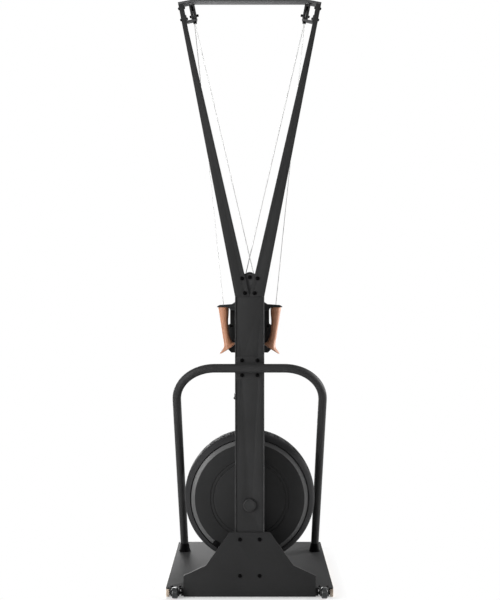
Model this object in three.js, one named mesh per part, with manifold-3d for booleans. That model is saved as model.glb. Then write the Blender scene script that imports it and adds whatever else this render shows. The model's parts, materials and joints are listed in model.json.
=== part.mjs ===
// Ski trainer machine, in millimetres, +Z up. X runs across the machine, Y runs from its rear
// towards the user, and the floor is at Z = 0. Inside this file Y = 0 is the rear face of the
// column, and the finished group is shifted so that the origin is under the middle of the machine.
import * as THREE from 'three';
import { mergeVertices } from 'three/addons/utils/BufferGeometryUtils.js';
import Module from 'manifold-3d';

const wasm = await Module();
wasm.setup();

// Clearances shared by all pieces
const seatGap = 0.3;
const runGap = 0.08;
const overrun = 2;
const weldDistance = 0.001;

// Facets
const roundSides = 16;
const ovalSides = 16;
const pinSides = 12;
const smallSides = 10;
const holeSides = 8;
const boltSides = 6;
const cordSides = 8;
const housingSides = 36;
const cornerArcSides = 3;
const slotSteps = 12;
const arcSteps = 12;

// Overall
const machineHeight = 2195;
const armLeanDegrees = 11;

// Base
const baseWidth = 615;
const baseDepth = 612;
const baseHeight = 34;
const basePlateThickness = 6;
const baseCornerRadius = 8;
const runnerWidth = 11;
const runnerInset = 0.6;
const runnerChamfer = 2.5;
const underFrameWall = 3;
const underFrameLift = 4;
const beamDepth = 44;
const spineWidth = 84;
const rearBeamInset = 55.5;

// Transport wheels at the rear corners
const wheelRadius = 20;
const wheelWidth = 22;
const wheelInset = 35.1;
const wheelSetback = 20;
const wheelLift = 1.5;
const wheelRoundover = 4;
const wheelAxleRadius = 4;
const forkThickness = 4;
const forkLength = 36;
const forkEyeRadius = 12;
const wheelSideGap = 0.5;
const forkFlangeHalf = 22;
const axleTail = 12;

// Rear gusset
const gussetThickness = 6;
const gussetFloorGap = 3;
const gussetTopHalf = 73.4;
const gussetTopHeight = 238.4;
const gussetWaistHalf = 160.5;
const gussetWaistHeight = 117.5;
const gussetFootInset = 65.3;
const gussetFootHeight = 79.4;
const gussetBoltHalf = 36;
const gussetUpperBoltHeight = 212.7;

// Column, an open channel closed at the rear by a recessed cover
const columnWidth = 107.8;
const columnDepth = 95;
const columnTop = 1102.8;
const columnWall = 4;
const columnCornerRadius = 6;
const coverRecess = 3;
const coverThickness = 3;

// Arms
const armTipWidth = 18;
const armTipDepth = 40;
const armKinkDrop = 104;
const armWall = 3;
const jointPlateThickness = 6;
const jointPlateHalf = 44;
const jointPlateTop = 1187;
const jointPlateBottom = 1010;
const jointPadRadius = 9;
const upperArmBoltHalf = 28.6;
const upperArmBoltHeight = 1169;
const lowerArmBoltHalf = 17.6;
const lowerArmBoltHeight = 1115;
const rollerWindowHalf = 26;
const rollerWindowDepth = 38;
const rollerWindowTop = 1197;

// Crossbar
const barThickness = 8;
const barDepth = 42;
const barEndRun = 63.5;
const plugLength = 38;

// Pulley heads at the arm tips, in each head's own leaning frame
const sheaveReach = 30;
const sheaveDrop = 44.3;
const swivelSetback = 14;
const sheaveFloorRadius = 16;
const sheaveFlangeRadius = 18.5;
const sheaveWidth = 13;
const sheaveFloorWidth = 3.6;
const sheaveLipWidth = 2;
const sheaveBoltRadius = 3;
const sheaveBoltHeadRadius = 4.8;
const sheaveBoltHeadHeight = 7.4;
const cheekThickness = 3.5;
const cheekGap = 0.5;
const cheekBackEdge = 5;
const cheekRadius = 17;
const cheekArcDegrees = [-126, 18];
const cheekTop = 37;
const cheekTopFront = 45;
const cheekFoot = 16;
const yokeWebThickness = 4;
const yokeHoodFoot = 21;
const yokeSlotHalf = 3.5;
const yokeLipThickness = 3;
const yokeFootThickness = 3.4;
const yokeFootFront = 17.2;
const pivotRadius = 4;
const pivotShoulderRadius = 8;
const hollowPinRadius = 5;
const hollowPinBore = 2.6;
const hollowShoulderRadius = 6.8;
const hollowHeadRadius = 6.6;
const hollowHeadLength = 7;
const bracketDrop = 19;
const bracketThickness = 7;
const bracketDepth = 24;
const bracketInset = 2;
const bracketTipRadius = 9;
const bracketTabHeight = 20;
const bracketTabThickness = 3;
const armEndBoltRadius = 3;
const upperEndBoltRise = 34;
const lowerEndBoltDrop = 8;

// Cords
const cordRadius = 1.5;
const returnCordRadius = 2.5;

// Guide rollers on the centre bolt
const rollerHeight = 1173.5;
const rollerWidth = 9;
const rollerFloorRadius = 15;
const rollerFlangeRadius = 20;
const rollerLipWidth = 1.2;
const rollerFloorWidth = 3.6;
const rollerPinRadius = 4;
const rollerStart = 15.4;
const rollerSpacing = 11;

// Flywheel axle, bearings and drums
const axleHeight = 337;
const axleRadius = 10;
const axleRearEnd = 4.5;
const coverAxleHole = 12;
const webAxleHole = 14;
const axleFrontEnd = 233;
const bearingRadius = 21;
const bearingWidth = 12;
const bearingBossWall = 7;
const rearBearingStart = 6.6;
const frontBearingStart = 97;
const frontBossEnd = 112;
const capRadius = 24;
const capProud = 9;
const capChamfer = 3;
const drumFloorRadius = 30;
const drumFlangeRadius = 36;
const drumFlangeThickness = 2;
const drumWidth = 24;
const drumStart = 22;
const drumSpacing = 27;
const driveLane = 10;
const returnLane = 18;
const driveTurns = 1.25;
const lanePitch = 4;

// Return cord posts inside the column
const postRadius = 6;
const postHeight = 990;
const postSetback = 70;
const hookHeight = 90;
const leftReturnOffset = 33;
const rightReturnOffset = 18;
const hookSetback = 79;

// Flywheel housing
const housingLegGap = 6;
const housingWidth = 140;
const housingWall = 3;
const housingStart = 106;
const housingBossRadius = 34;
const bandWidth = 28;
const ringWidth = 14;
const ringRise = 8;
const grooveWidth = 4;
const grooveDepth = 6;
const bandShoulderDrop = 9;
const bandShoulderSetback = 17;
const bandCurveDrop = 2;
const bandCurveSetback = 31;
const ringCrest = 1;
const faceRib = 2;
const stepOuterRadius = 147;
const stepInnerRadius = 135;
const stepDepth = 2;
const ventCount = 36;
const ventShare = 0.55;
const ventStart = 34;
const ventLength = 29;
const shellSeam = 0.6;
const caseBossCount = 5;
const caseBossAngle = 294;
const caseBossInset = 36;
const caseBossRadius = 6;
const caseBossRoot = 7.5;
const caseScrewLength = 90;
const frontGrilleInner = 70;
const frontGrilleMargin = 54;
const frontSlotCount = 24;
const frontSlotWidth = 9;
const frontNoseRadius = 52;
const frontNoseRise = 10;

// Damper lever in its slot on the housing's bevelled ring
const damperAngleDegrees = 233.4;
const damperTravelDegrees = 50;
const damperInset = 9;
const damperBlockLength = 24;
const damperBlockWidth = 17;
const damperBlockProud = 7;
const damperStemWidth = 7;
const damperFootThickness = 2.5;
const damperGap = 0.8;
const damperFootPlace = 17.6;
const damperFootHalf = 6.5;

// Fan wheel
const fanTipGap = 46;
const fanWidth = 96;
const fanStart = 122;
const fanPlateThickness = 4;
const fanHubRadius = 26;
const fanBladeCount = 12;
const fanBladeThickness = 3;
const fanBladeInner = 70;
const fanBladeSweepDegrees = 18;
const fanRingWidth = 16;

// Brace tube
const braceRadius = 16;
const braceSides = 12;
const braceBendSteps = 6;
const braceWall = 2;
const braceHeight = 841;
const braceSetback = 19.5;
const braceInset = 35.5;
const braceFootSetback = 478;
const braceBendRadius = 145;
const bracePlateThickness = 3;
const braceSaddleHalf = 9;
const braceSaddleWidth = 90;
const bracePlateHalfHeight = 40;
const braceWeld = 0.8;
const braceBoltHalf = 28.4;
const braceBoltRise = 27.5;
const bootHeight = 41;
const bootFootRadius = 24.5;
const bootWaistShare = 0.35;
const bootWaistRadius = 20.5;
const bootWall = 1.6;

// Handles and their dock
const handleTopHalf = 99.2;
const handleSetback = 128;
const handleTop = 1061.7;
const gripTopRadius = 18.3;
const gripEdge = 1.2;
const gripRimShares = [1.14, 1.07, 0.985];
// Sections of the grip, as shares of the foot's drop, then of the top radius outwards, inwards and in
// depth, and last of the foot's tilt
const gripSectionShares = [
  [0.05, 1.115, 1.06, 0.985, 0], [0.18, 1.04, 0.9, 0.87, 0], [0.354, 0.967, 0.635, 0.74, 0],
  [0.584, 0.847, 0.568, 0.65, 0], [0.714, 0.806, 0.7, 0.67, 0], [0.795, 0.743, 0.923, 0.74, 0],
  [0.876, 0.77, 1.18, 0.84, 0.51], [0.932, 1.07, 1.59, 1, 0.8]];
const footCentre = 161;
const footHalfLength = 36.4;
const footHalfWidth = 22;
const footThickness = 3.5;
const footTiltDegrees = 27.6;
const dockHalfWidth = 124;
const dockCrown = 28;
const dockTopShares = [[0.435, 0.75], [0.548, 0.41], [0.93, 0.286], [1, 0.09]];
const dockUnderShares = [[1, 0], [0.645, 0], [0.589, 0.43]];
const dockPlateDepth = 46;
const dockSlotStart = 92;
const dockSlotWidth = 14;
const spineHalf = 38;
const spineBottom = 905;
const spineDepth = 72.4;

// Console
const consoleHalfUpper = 75.4;
const consoleHalfLower = 83.5;
const consoleTop = 1052;
const consoleStepHeight = 998;
const consoleBottom = 886;
const consoleChamfer = 13;
const consoleStep = 6;
const consoleScrewHalf = 71.5;
const consoleScrewHeight = 988;
const consoleScrewDepth = 12;
const portHalf = 61;
const portHeight = 971;
const portWidth = 10;
const portRise = 6;
const portDepth = 3;
const consoleTopDepth = 24;
const consoleBottomDepth = 60;
const screenWidth = 122;
const screenHeight = 82;
const screenThickness = 2.4;
const screenPocket = 3;
const screenRise = 26;
const buttonRadius = 7;
const buttonTravel = 1.5;
const buttonLength = 8;
const buttonProud = 2.5;
const buttonEdge = 1;
const buttonDrop = 42;
const buttonSpacing = 36;

// Fasteners
const boltRadius = 4;
const boltHeadRadius = 7;
const boltHeadHeight = 4.2;
const nutHeight = 5;
const screwRadius = 2.5;
const screwHeadRadius = 4.6;
const screwHeadHeight = 2.6;
const outerScrewInset = 20;
const innerScrewInset = 50.5;
const baseScrewSetback = 16;
const clipHeight = 735;
const clipLength = 22;
const clipWidth = 12;
const clipProud = 2.4;
const clipSetback = 10;
const clipScrewDrop = 6;

// Places that follow from the driving dimensions
const lean = THREE.MathUtils.degToRad(armLeanDegrees);
const leanSin = Math.sin(lean);
const leanCos = Math.cos(lean);
const columnHalf = columnWidth / 2;
const baseHalf = baseWidth / 2;
const baseScrewHalves = [baseHalf - outerScrewInset, baseHalf - innerScrewInset];
const gussetFootHalf = baseHalf - gussetFootInset;
const braceLegX = baseHalf - braceInset;
const housingRadius = braceLegX - braceRadius - housingLegGap;
const ringOuterRadius = housingRadius - bandWidth;
const ringInnerRadius = ringOuterRadius - ringWidth;
const damperRadius = ringOuterRadius - damperInset;
const fanRadius = housingRadius - fanTipGap;
const barUnder = machineHeight - barThickness;
const plateUnder = baseHeight - basePlateThickness;
const columnFoot = baseHeight + seatGap;
const coverHalf = columnHalf - columnWall - seatGap;
const coverBack = coverRecess + coverThickness;
const plateStart = coverBack + seatGap;
const plateEnd = plateStart + jointPlateThickness;
const wheelHeight = wheelRadius + wheelLift;
const wheelCentreX = baseHalf - wheelInset;
const armFoot = columnTop + seatGap;
const armOuterX = (z) => columnHalf + (z - columnTop) * Math.tan(lean);
const armKinkHeight = machineHeight - armKinkDrop;
const barHalfStraight = armOuterX(machineHeight) - barEndRun;
const armBoltPlaces = [
  [upperArmBoltHalf, upperArmBoltHeight], [lowerArmBoltHalf, lowerArmBoltHeight]];
const armKinkInnerX = armOuterX(armKinkHeight) - armTipWidth / leanCos;
const axlePlace = [0, 0, axleHeight];
const sheavePitchRadius = sheaveFloorRadius + seatGap + cordRadius;
const headWall = columnHalf * leanCos - columnTop * leanSin;
const headDeck = barHalfStraight * leanSin + barUnder * leanCos;
const headU = headWall - armTipWidth - sheaveReach;
const headW = headDeck - sheaveDrop;
const headX = headU * leanCos + headW * leanSin;
const headZ = -headU * leanSin + headW * leanCos;
const sheaveV = swivelSetback + sheavePitchRadius;
const cordExitV = sheaveV + sheavePitchRadius;

// Solids
function welded(geometry) {
  const bare = new THREE.BufferGeometry();
  bare.setAttribute('position', geometry.getAttribute('position').clone());
  if (geometry.index) bare.setIndex(geometry.index.clone());
  const merged = mergeVertices(bare, weldDistance);
  const corners = Array.from(merged.index.array);
  const kept = [];
  for (let i = 0; i < corners.length; i += 3) {
    const [a, b, c] = corners.slice(i, i + 3);
    if (a !== b && b !== c && c !== a) kept.push(a, b, c);
  }
  merged.setIndex(kept);
  return volumeOf(merged) < 0 ? flipped(merged) : merged;
}

function volumeOf(geometry) {
  const place = geometry.getAttribute('position');
  const corner = [new THREE.Vector3(), new THREE.Vector3(), new THREE.Vector3()];
  let sum = 0;
  for (let i = 0; i < geometry.index.count; i += 3) {
    corner.forEach((point, k) => point.fromBufferAttribute(place, geometry.index.getX(i + k)));
    sum += corner[0].dot(corner[1].clone().cross(corner[2]));
  }
  return sum / 6;
}

function flipped(geometry) {
  const corners = Array.from(geometry.index.array);
  for (let i = 0; i < corners.length; i += 3) {
    [corners[i + 1], corners[i + 2]] = [corners[i + 2], corners[i + 1]];
  }
  geometry.setIndex(corners);
  return geometry;
}

function toSolid(geometry) {
  const mesh = welded(geometry);
  return new wasm.Manifold(new wasm.Mesh({
    numProp: 3,
    vertProperties: Float32Array.from(mesh.getAttribute('position').array),
    triVerts: Uint32Array.from(mesh.index.array),
  }));
}

function toGeometry(solid) {
  const mesh = solid.getMesh();
  const geometry = new THREE.BufferGeometry();
  const places = Float32Array.from(mesh.vertProperties);
  geometry.setAttribute('position', new THREE.BufferAttribute(places, 3));
  geometry.setIndex(Array.from(mesh.triVerts));
  return geometry;
}

const join = (...pieces) => toGeometry(pieces.map(toSolid).reduce((all, next) => all.add(next)));
const cut = (body, ...tools) => toGeometry(
  tools.map(toSolid).reduce((rest, tool) => rest.subtract(tool), toSolid(body)));
const common = (a, b) => toGeometry(toSolid(a).intersect(toSolid(b)));

// Several separate solids in one geometry
function gathered(pieces) {
  const places = [];
  const corners = [];
  pieces.map(welded).forEach((piece) => {
    const first = places.length / 3;
    places.push(...piece.getAttribute('position').array);
    corners.push(...Array.from(piece.index.array, (index) => index + first));
  });
  const geometry = new THREE.BufferGeometry();
  geometry.setAttribute('position', new THREE.BufferAttribute(Float32Array.from(places), 3));
  geometry.setIndex(corners);
  return geometry;
}

// The same piece on the other side of the machine
const mirrored = (geometry) => welded(geometry.clone().scale(-1, 1, 1));
const onSide = (side, geometry) => (side > 0 ? geometry : mirrored(geometry));

function block(x0, x1, y0, y1, z0, z1) {
  const box = new THREE.BoxGeometry(x1 - x0, y1 - y0, z1 - z0);
  return box.translate((x0 + x1) / 2, (y0 + y1) / 2, (z0 + z1) / 2);
}

const axes = {
  x: new THREE.Vector3(1, 0, 0),
  y: new THREE.Vector3(0, 1, 0),
  z: new THREE.Vector3(0, 0, 1),
};
const planes = {
  xy: new THREE.Matrix4().makeBasis(axes.x, axes.y, axes.z),
  xz: new THREE.Matrix4().makeBasis(axes.x, axes.z, axes.y.clone().negate()),
  yz: new THREE.Matrix4().makeBasis(axes.y, axes.z, axes.x),
};

function shapeOf(points) {
  return new THREE.Shape(points.map(([a, b]) => new THREE.Vector2(a, b)));
}

// A flat outline given a thickness, from one place to another along the plane's normal
function slab(shape, plane, from, to, arcSides = 6) {
  const depth = to - from;
  const body = new THREE.ExtrudeGeometry(shape, { depth, bevelEnabled: false, curveSegments: arcSides });
  body.translate(0, 0, plane === 'xz' ? -to : from);
  return body.applyMatrix4(planes[plane]);
}

// A profile of [radius, place] turned about an axis through the given point
function turned(profile, axis, centre, sides) {
  const points = profile.map(([radius, place]) => new THREE.Vector2(radius, place));
  const body = new THREE.LatheGeometry(points, sides);
  if (axis === 'x') body.rotateZ(-Math.PI / 2);
  if (axis === 'z') body.rotateX(Math.PI / 2);
  return body.translate(...centre);
}

const rod = (radius, axis, from, to, centre, sides = pinSides) => turned(
  [[0, from], [radius, from], [radius, to], [0, to]], axis, centre, sides);
const ringProfile = (inner, outer, from, to) => [
  [inner, from], [outer, from], [outer, to], [inner, to], [inner, from]];

// A hole whose flats clear a shaft of the given radius
const boreFor = (radius, clearance, sides) => (radius + clearance) / Math.cos(Math.PI / sides);

// Skin over a row of rings with equal point counts, capped at both ends or closed on itself
function loft(rings, closed = false) {
  const count = rings[0].length;
  const places = rings.flat().flatMap((point) => [point.x, point.y, point.z]);
  const corners = [];
  const bands = closed ? rings.length : rings.length - 1;
  for (let i = 0; i < bands; i += 1) {
    const near = i * count;
    const far = ((i + 1) % rings.length) * count;
    for (let k = 0; k < count; k += 1) {
      const next = (k + 1) % count;
      corners.push(near + k, near + next, far + next, near + k, far + next, far + k);
    }
  }
  if (!closed) {
    const last = (rings.length - 1) * count;
    for (let k = 1; k < count - 1; k += 1) {
      corners.push(0, k + 1, k, last, last + k, last + k + 1);
    }
  }
  const geometry = new THREE.BufferGeometry();
  geometry.setAttribute('position', new THREE.BufferAttribute(Float32Array.from(places), 3));
  geometry.setIndex(corners);
  return welded(geometry);
}

function ovalRing(centre, across, along, sides) {
  return Array.from({ length: sides }, (_, k) => {
    const turn = (2 * Math.PI * k) / sides;
    return centre.clone().addScaledVector(across, Math.cos(turn)).addScaledVector(along, Math.sin(turn));
  });
}

// Rings square to a path of points, for tubes and cords
function tubeRings(points, radius, sides) {
  const firstAim = points[1].clone().sub(points[0]).normalize();
  const alongY = Math.abs(firstAim.y) > Math.abs(firstAim.x) + Math.abs(firstAim.z);
  let across = alongY ? axes.x.clone() : axes.y.clone();
  return points.map((point, i) => {
    const before = points[Math.max(i - 1, 0)];
    const after = points[Math.min(i + 1, points.length - 1)];
    const aim = i === 0 ? firstAim : after.clone().sub(before).normalize();
    across = across.clone().addScaledVector(aim, -across.dot(aim)).normalize();
    const along = aim.clone().cross(across);
    return ovalRing(point, across.clone().multiplyScalar(radius), along.multiplyScalar(radius), sides);
  });
}

const cordAlong = (points, radius) => loft(tubeRings(points, radius, cordSides));
const vector = (x, y, z) => new THREE.Vector3(x, y, z);

// Materials
const finish = (color, roughness, metalness) => () => (
  new THREE.MeshStandardMaterial({ color, roughness, metalness }));
const blackPaint = finish(0x393939, 0.55, 0.3);
const gussetPaint = finish(0x303030, 0.6, 0.3);
const deckPaint = finish(0x4a4a4a, 0.7, 0.2);
const barePlate = finish(0x5a5a5c, 0.45, 0.8);
const blackPlastic = finish(0x262626, 0.5, 0);
const housingPlastic = finish(0x2e2e2e, 0.45, 0.1);
const tanGrip = finish(0xb0775a, 0.5, 0);
const tanRunner = finish(0xa98b6c, 0.6, 0);
const darkRubber = finish(0x2c2d2e, 0.3, 0);
const blackSteel = finish(0x101010, 0.4, 0.7);
const brightSteel = finish(0xb8b9ba, 0.3, 1);
const greyCord = finish(0xa8a8a8, 0.8, 0);
const blackCord = finish(0x1a1a1a, 0.9, 0);
const screenGlass = finish(0x10181c, 0.15, 0);
const greyRubber = finish(0x6a6c6e, 0.7, 0);

const machine = new THREE.Group();
machine.position.y = -(baseDepth - wheelSetback - wheelRadius) / 2;

function addPiece(name, geometry, material, holder = machine) {
  const mesh = new THREE.Mesh(welded(geometry), material());
  mesh.name = name;
  holder.add(mesh);
}

// Fasteners: a bolt along an axis, head at one end and a nut at the other, aimed by its sign
function boltPiece(axis, centre, headFace, nutFace, radius, headRadius, headHeight, sides = boltSides) {
  const way = Math.sign(nutFace - headFace);
  const head = headFace - way * headHeight;
  const tail = nutFace + way * nutHeight;
  const profile = [
    [0, head], [headRadius, head], [headRadius, headFace], [radius, headFace], [radius, nutFace],
    [headRadius, nutFace], [headRadius, tail], [0, tail]];
  return turned(profile, axis, centre, sides);
}

function screwPiece(axis, centre, headFace, tip, radius, headRadius, headHeight, sides = boltSides) {
  const way = Math.sign(tip - headFace);
  const head = headFace - way * headHeight;
  const shoulder = headRadius - headHeight / 3;
  const profile = [
    [0, head], [shoulder, head], [headRadius, head + (way * headHeight) / 3], [headRadius, headFace],
    [radius, headFace], [radius, tip], [0, tip]];
  return turned(profile, axis, centre, sides);
}

const holeFor = (radius, axis, from, to, centre, sides = holeSides) => rod(
  boreFor(radius, seatGap, sides), axis, from, to, centre, sides);

// Base
function roundedOutline(x0, x1, y0, y1, radius) {
  const shape = new THREE.Shape();
  shape.moveTo(x0 + radius, y0);
  shape.lineTo(x1 - radius, y0);
  shape.absarc(x1 - radius, y0 + radius, radius, -Math.PI / 2, 0, false);
  shape.absarc(x1 - radius, y1 - radius, radius, 0, Math.PI / 2, false);
  shape.absarc(x0 + radius, y1 - radius, radius, Math.PI / 2, Math.PI, false);
  shape.absarc(x0 + radius, y0 + radius, radius, Math.PI, (3 * Math.PI) / 2, false);
  return shape;
}

const baseScrewCentres = [-1, 1].flatMap((side) => baseScrewHalves.map(
  (half) => [side * half, baseScrewSetback, 0]));

function basePlate() {
  const outline = roundedOutline(-baseHalf, baseHalf, 0, baseDepth, baseCornerRadius);
  const plate = slab(outline, 'xy', plateUnder, baseHeight, cornerArcSides);
  const screws = baseScrewCentres.map((centre) => screwPiece(
    'z', centre, baseHeight, plateUnder - overrun, screwRadius, screwHeadRadius, screwHeadHeight));
  return join(plate, ...screws);
}

function runner() {
  const outer = baseHalf - runnerInset;
  const inner = outer - runnerWidth;
  const top = plateUnder - seatGap;
  const shape = shapeOf([
    [inner, top], [inner, runnerChamfer], [inner + runnerChamfer, 0], [outer - runnerChamfer, 0],
    [outer, runnerChamfer], [outer, top]]);
  return slab(shape, 'xz', runnerInset, baseDepth - baseCornerRadius);
}

function underFrame() {
  const top = plateUnder - seatGap;
  const half = baseHalf - runnerInset - runnerWidth - seatGap;
  const rearHalf = baseHalf - rearBeamInset;
  const frontEnd = baseDepth - baseCornerRadius;
  const feetMiddle = braceFootSetback;
  const beams = (inset, bottom, ceiling) => join(
    block(inset - rearHalf, rearHalf - inset, seatGap + inset, beamDepth - inset, bottom, ceiling),
    block(-half + inset, half - inset, feetMiddle - beamDepth / 2 + inset,
      feetMiddle + beamDepth / 2 - inset, bottom, ceiling),
    block(-half + inset, half - inset, frontEnd - beamDepth + inset, frontEnd - inset, bottom, ceiling),
    block(-spineWidth / 2 + inset, spineWidth / 2 - inset, seatGap + inset, frontEnd - inset,
      bottom, ceiling));
  return cut(beams(0, underFrameLift, top), beams(underFrameWall, 0, top - underFrameWall));
}

// Wheel fork of two cheeks under a flange, with the wheel between them
const cheekInner = wheelWidth / 2 + wheelSideGap;
const cheekOuter = cheekInner + forkThickness;

function wheelFork() {
  const top = plateUnder - seatGap;
  const side = new THREE.Shape();
  side.moveTo(forkLength, top);
  side.lineTo(forkLength, top - forkEyeRadius);
  side.lineTo(-wheelSetback, wheelHeight - forkEyeRadius);
  side.absarc(-wheelSetback, wheelHeight, forkEyeRadius, -Math.PI / 2, Math.PI / 2, true);
  side.lineTo(-seatGap, wheelHeight + forkEyeRadius);
  side.lineTo(-seatGap, top);
  const flange = block(wheelCentreX - forkFlangeHalf, wheelCentreX + forkFlangeHalf, beamDepth / 4,
    forkLength, top - forkThickness, top);
  const cheeks = [-1, 1].map((way) => {
    const from = Math.min(way * cheekInner, way * cheekOuter) + wheelCentreX;
    return slab(side, 'yz', from, from + forkThickness, cornerArcSides);
  });
  const axleHole = holeFor(wheelAxleRadius, 'x', wheelCentreX - cheekOuter - overrun,
    wheelCentreX + cheekOuter + overrun, [0, -wheelSetback, wheelHeight]);
  const screwHoles = baseScrewHalves.map((half) => holeFor(
    screwRadius, 'z', top - forkEyeRadius, top + overrun, [half, baseScrewSetback, 0]));
  return cut(join(flange, ...cheeks), axleHole, ...screwHoles);
}

function baseFrame() {
  const fork = wheelFork();
  return join(underFrame(), fork, mirrored(fork));
}

function wheelAxle() {
  const centre = [0, -wheelSetback, wheelHeight];
  const headFace = wheelCentreX + cheekOuter + seatGap;
  const nutFace = wheelCentreX - cheekOuter - seatGap;
  const bolt = boltPiece('x', centre, headFace, nutFace, wheelAxleRadius, boltHeadRadius, boltHeadHeight);
  return join(bolt, rod(wheelAxleRadius, 'x', nutFace - axleTail, nutFace, centre, smallSides));
}

function wheel() {
  const bore = boreFor(wheelAxleRadius, runGap, roundSides);
  const half = wheelWidth / 2;
  const edge = wheelRadius - wheelRoundover;
  const profile = [
    [bore, -half], [edge, -half], [wheelRadius, wheelRoundover - half],
    [wheelRadius, half - wheelRoundover], [edge, half], [bore, half], [bore, -half]];
  return turned(profile, 'x', [wheelCentreX, -wheelSetback, wheelHeight], roundSides);
}

// Rear gusset
const symmetric = (half) => [...half, ...half.slice().reverse().map(([x, z]) => [-x, z])];
const gussetBoltHeights = [gussetUpperBoltHeight, gussetFootHeight];
const gussetBoltCentres = gussetBoltHeights.flatMap(
  (z) => [[gussetBoltHalf, 0, z], [-gussetBoltHalf, 0, z]]);

function rearGusset() {
  const outline = shapeOf(symmetric([
    [gussetTopHalf, gussetTopHeight], [gussetWaistHalf, gussetWaistHeight],
    [gussetFootHalf, gussetFootHeight], [gussetFootHalf, gussetFloorGap]]));
  const rear = -gussetThickness - seatGap;
  const plate = slab(outline, 'xz', rear, -seatGap);
  const bolts = gussetBoltCentres.map((centre) => boltPiece(
    'y', centre, rear, coverBack + seatGap, boltRadius, boltHeadRadius, boltHeadHeight));
  return join(plate, ...bolts);
}

// Column
function columnShell() {
  const inner = columnHalf - columnWall;
  const web = columnDepth - columnWall;
  const shape = new THREE.Shape();
  shape.moveTo(-columnHalf, 0);
  shape.lineTo(-inner, 0);
  shape.lineTo(-inner, web);
  shape.lineTo(inner, web);
  shape.lineTo(inner, 0);
  shape.lineTo(columnHalf, 0);
  const turnX = columnHalf - columnCornerRadius;
  const turnY = columnDepth - columnCornerRadius;
  shape.absarc(turnX, turnY, columnCornerRadius, 0, Math.PI / 2, false);
  shape.absarc(-turnX, turnY, columnCornerRadius, Math.PI / 2, Math.PI, false);
  const shell = slab(shape, 'xy', columnFoot, columnTop, 4);
  const axleHole = rod(webAxleHole, 'y', web - overrun, columnDepth + overrun, axlePlace, roundSides);
  const clipHole = holeFor(screwRadius, 'x', -columnHalf - overrun, overrun - inner,
    [0, clipSetback, clipHeight - clipScrewDrop]);
  return cut(shell, axleHole, clipHole);
}

const braceBoltCentres = [1, -1].flatMap((way) => [1, -1].map(
  (side) => [side * braceBoltHalf, 0, braceHeight + way * braceBoltRise]));

function columnCover() {
  const sheet = block(-coverHalf, coverHalf, coverRecess, coverBack, columnFoot + seatGap,
    columnTop - seatGap);
  const bossRadius = bearingRadius + bearingBossWall;
  const boss = rod(bossRadius, 'y', coverBack - seatGap, rearBearingStart + bearingWidth, axlePlace,
    roundSides);
  const padHalf = gussetBoltHalf + boltHeadRadius + overrun;
  const pads = gussetBoltHeights.map((z) => block(-padHalf, padHalf, 0, coverBack - seatGap,
    z - 2 * boltHeadRadius, z + 2 * boltHeadRadius));
  const seat = rod(boreFor(bearingRadius, seatGap, roundSides), 'y', rearBearingStart - seatGap,
    rearBearingStart + bearingWidth + overrun, axlePlace, roundSides);
  const hole = rod(coverAxleHole, 'y', -overrun, coverBack + overrun, axlePlace, roundSides);
  const boltHoles = [...gussetBoltCentres, ...braceBoltCentres].map(
    (centre) => holeFor(boltRadius, 'y', -overrun, coverBack + overrun, centre));
  return cut(join(sheet, boss, ...pads), seat, hole, ...boltHoles);
}

function axleCap() {
  const rear = coverRecess - capProud;
  const front = coverRecess - seatGap;
  const plug = coverAxleHole - seatGap - seatGap;
  const plugEnd = axleRearEnd - seatGap;
  return turned([
    [0, rear], [capRadius - capChamfer, rear], [capRadius, rear + capChamfer], [capRadius, front],
    [plug, front], [plug, plugEnd], [0, plugEnd]], 'y', axlePlace, roundSides);
}

function sideClip() {
  const outer = -columnHalf - seatGap - clipProud;
  const inner = -columnHalf - seatGap;
  const plate = block(outer, inner, clipSetback - clipWidth / 2, clipSetback + clipWidth / 2,
    clipHeight - clipLength / 2, clipHeight + clipLength / 2);
  const place = [0, clipSetback, clipHeight - clipScrewDrop];
  const screw = screwPiece('x', place, outer, overrun + columnWall - columnHalf,
    screwRadius, screwHeadRadius, screwHeadHeight);
  return join(plate, screw);
}

// Arms
const headPlace = new THREE.Matrix4().makeRotationY(lean).setPosition(headX, 0, headZ);
const atHead = (geometry) => geometry.clone().applyMatrix4(headPlace);
const headPoint = (u, v, w) => vector(u, v, w).applyMatrix4(headPlace);
const armTopW = sheaveDrop - seatGap;
const armOuterU = sheaveReach + armTipWidth;
const endBoltV = armTipDepth / 2;

function armRings(inset, below, above) {
  const slope = inset / leanCos;
  const ring = (inner, outer, depth) => [
    vector(inner.x, inset, inner.z), vector(outer.x, inset, outer.z),
    vector(outer.x, depth - inset, outer.z), vector(inner.x, depth - inset, inner.z)];
  const top = armTopW + above;
  const foot = armFoot - below;
  const rings = [
    ring({ x: seatGap / 2 + slope, z: foot }, { x: armOuterX(armFoot) - slope, z: foot }, columnDepth),
    ring({ x: armKinkInnerX + slope, z: armKinkHeight },
      { x: armOuterX(armKinkHeight) - slope, z: armKinkHeight }, armTipDepth),
    ring(headPoint(sheaveReach + inset, 0, top), headPoint(armOuterU - inset, 0, top), armTipDepth)];
  return rings;
}

const endBoltHole = (w) => atHead(holeFor(
  armEndBoltRadius, 'x', sheaveReach - bracketDepth, armOuterU + overrun, [0, endBoltV, w], smallSides));

function arm() {
  const body = loft(armRings(0, 0, 0));
  const hollow = loft(armRings(armWall, overrun, overrun));
  const window = block(-rollerWindowHalf, rollerWindowHalf, armWall, rollerWindowDepth,
    armFoot - overrun, rollerWindowTop);
  const holes = armBoltPlaces.map(([x, z]) => holeFor(
    boltRadius, 'y', -overrun, armWall + overrun, [x, 0, z]));
  return cut(body, hollow, window, ...holes, endBoltHole(upperEndBoltRise), endBoltHole(-lowerEndBoltDrop));
}

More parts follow.
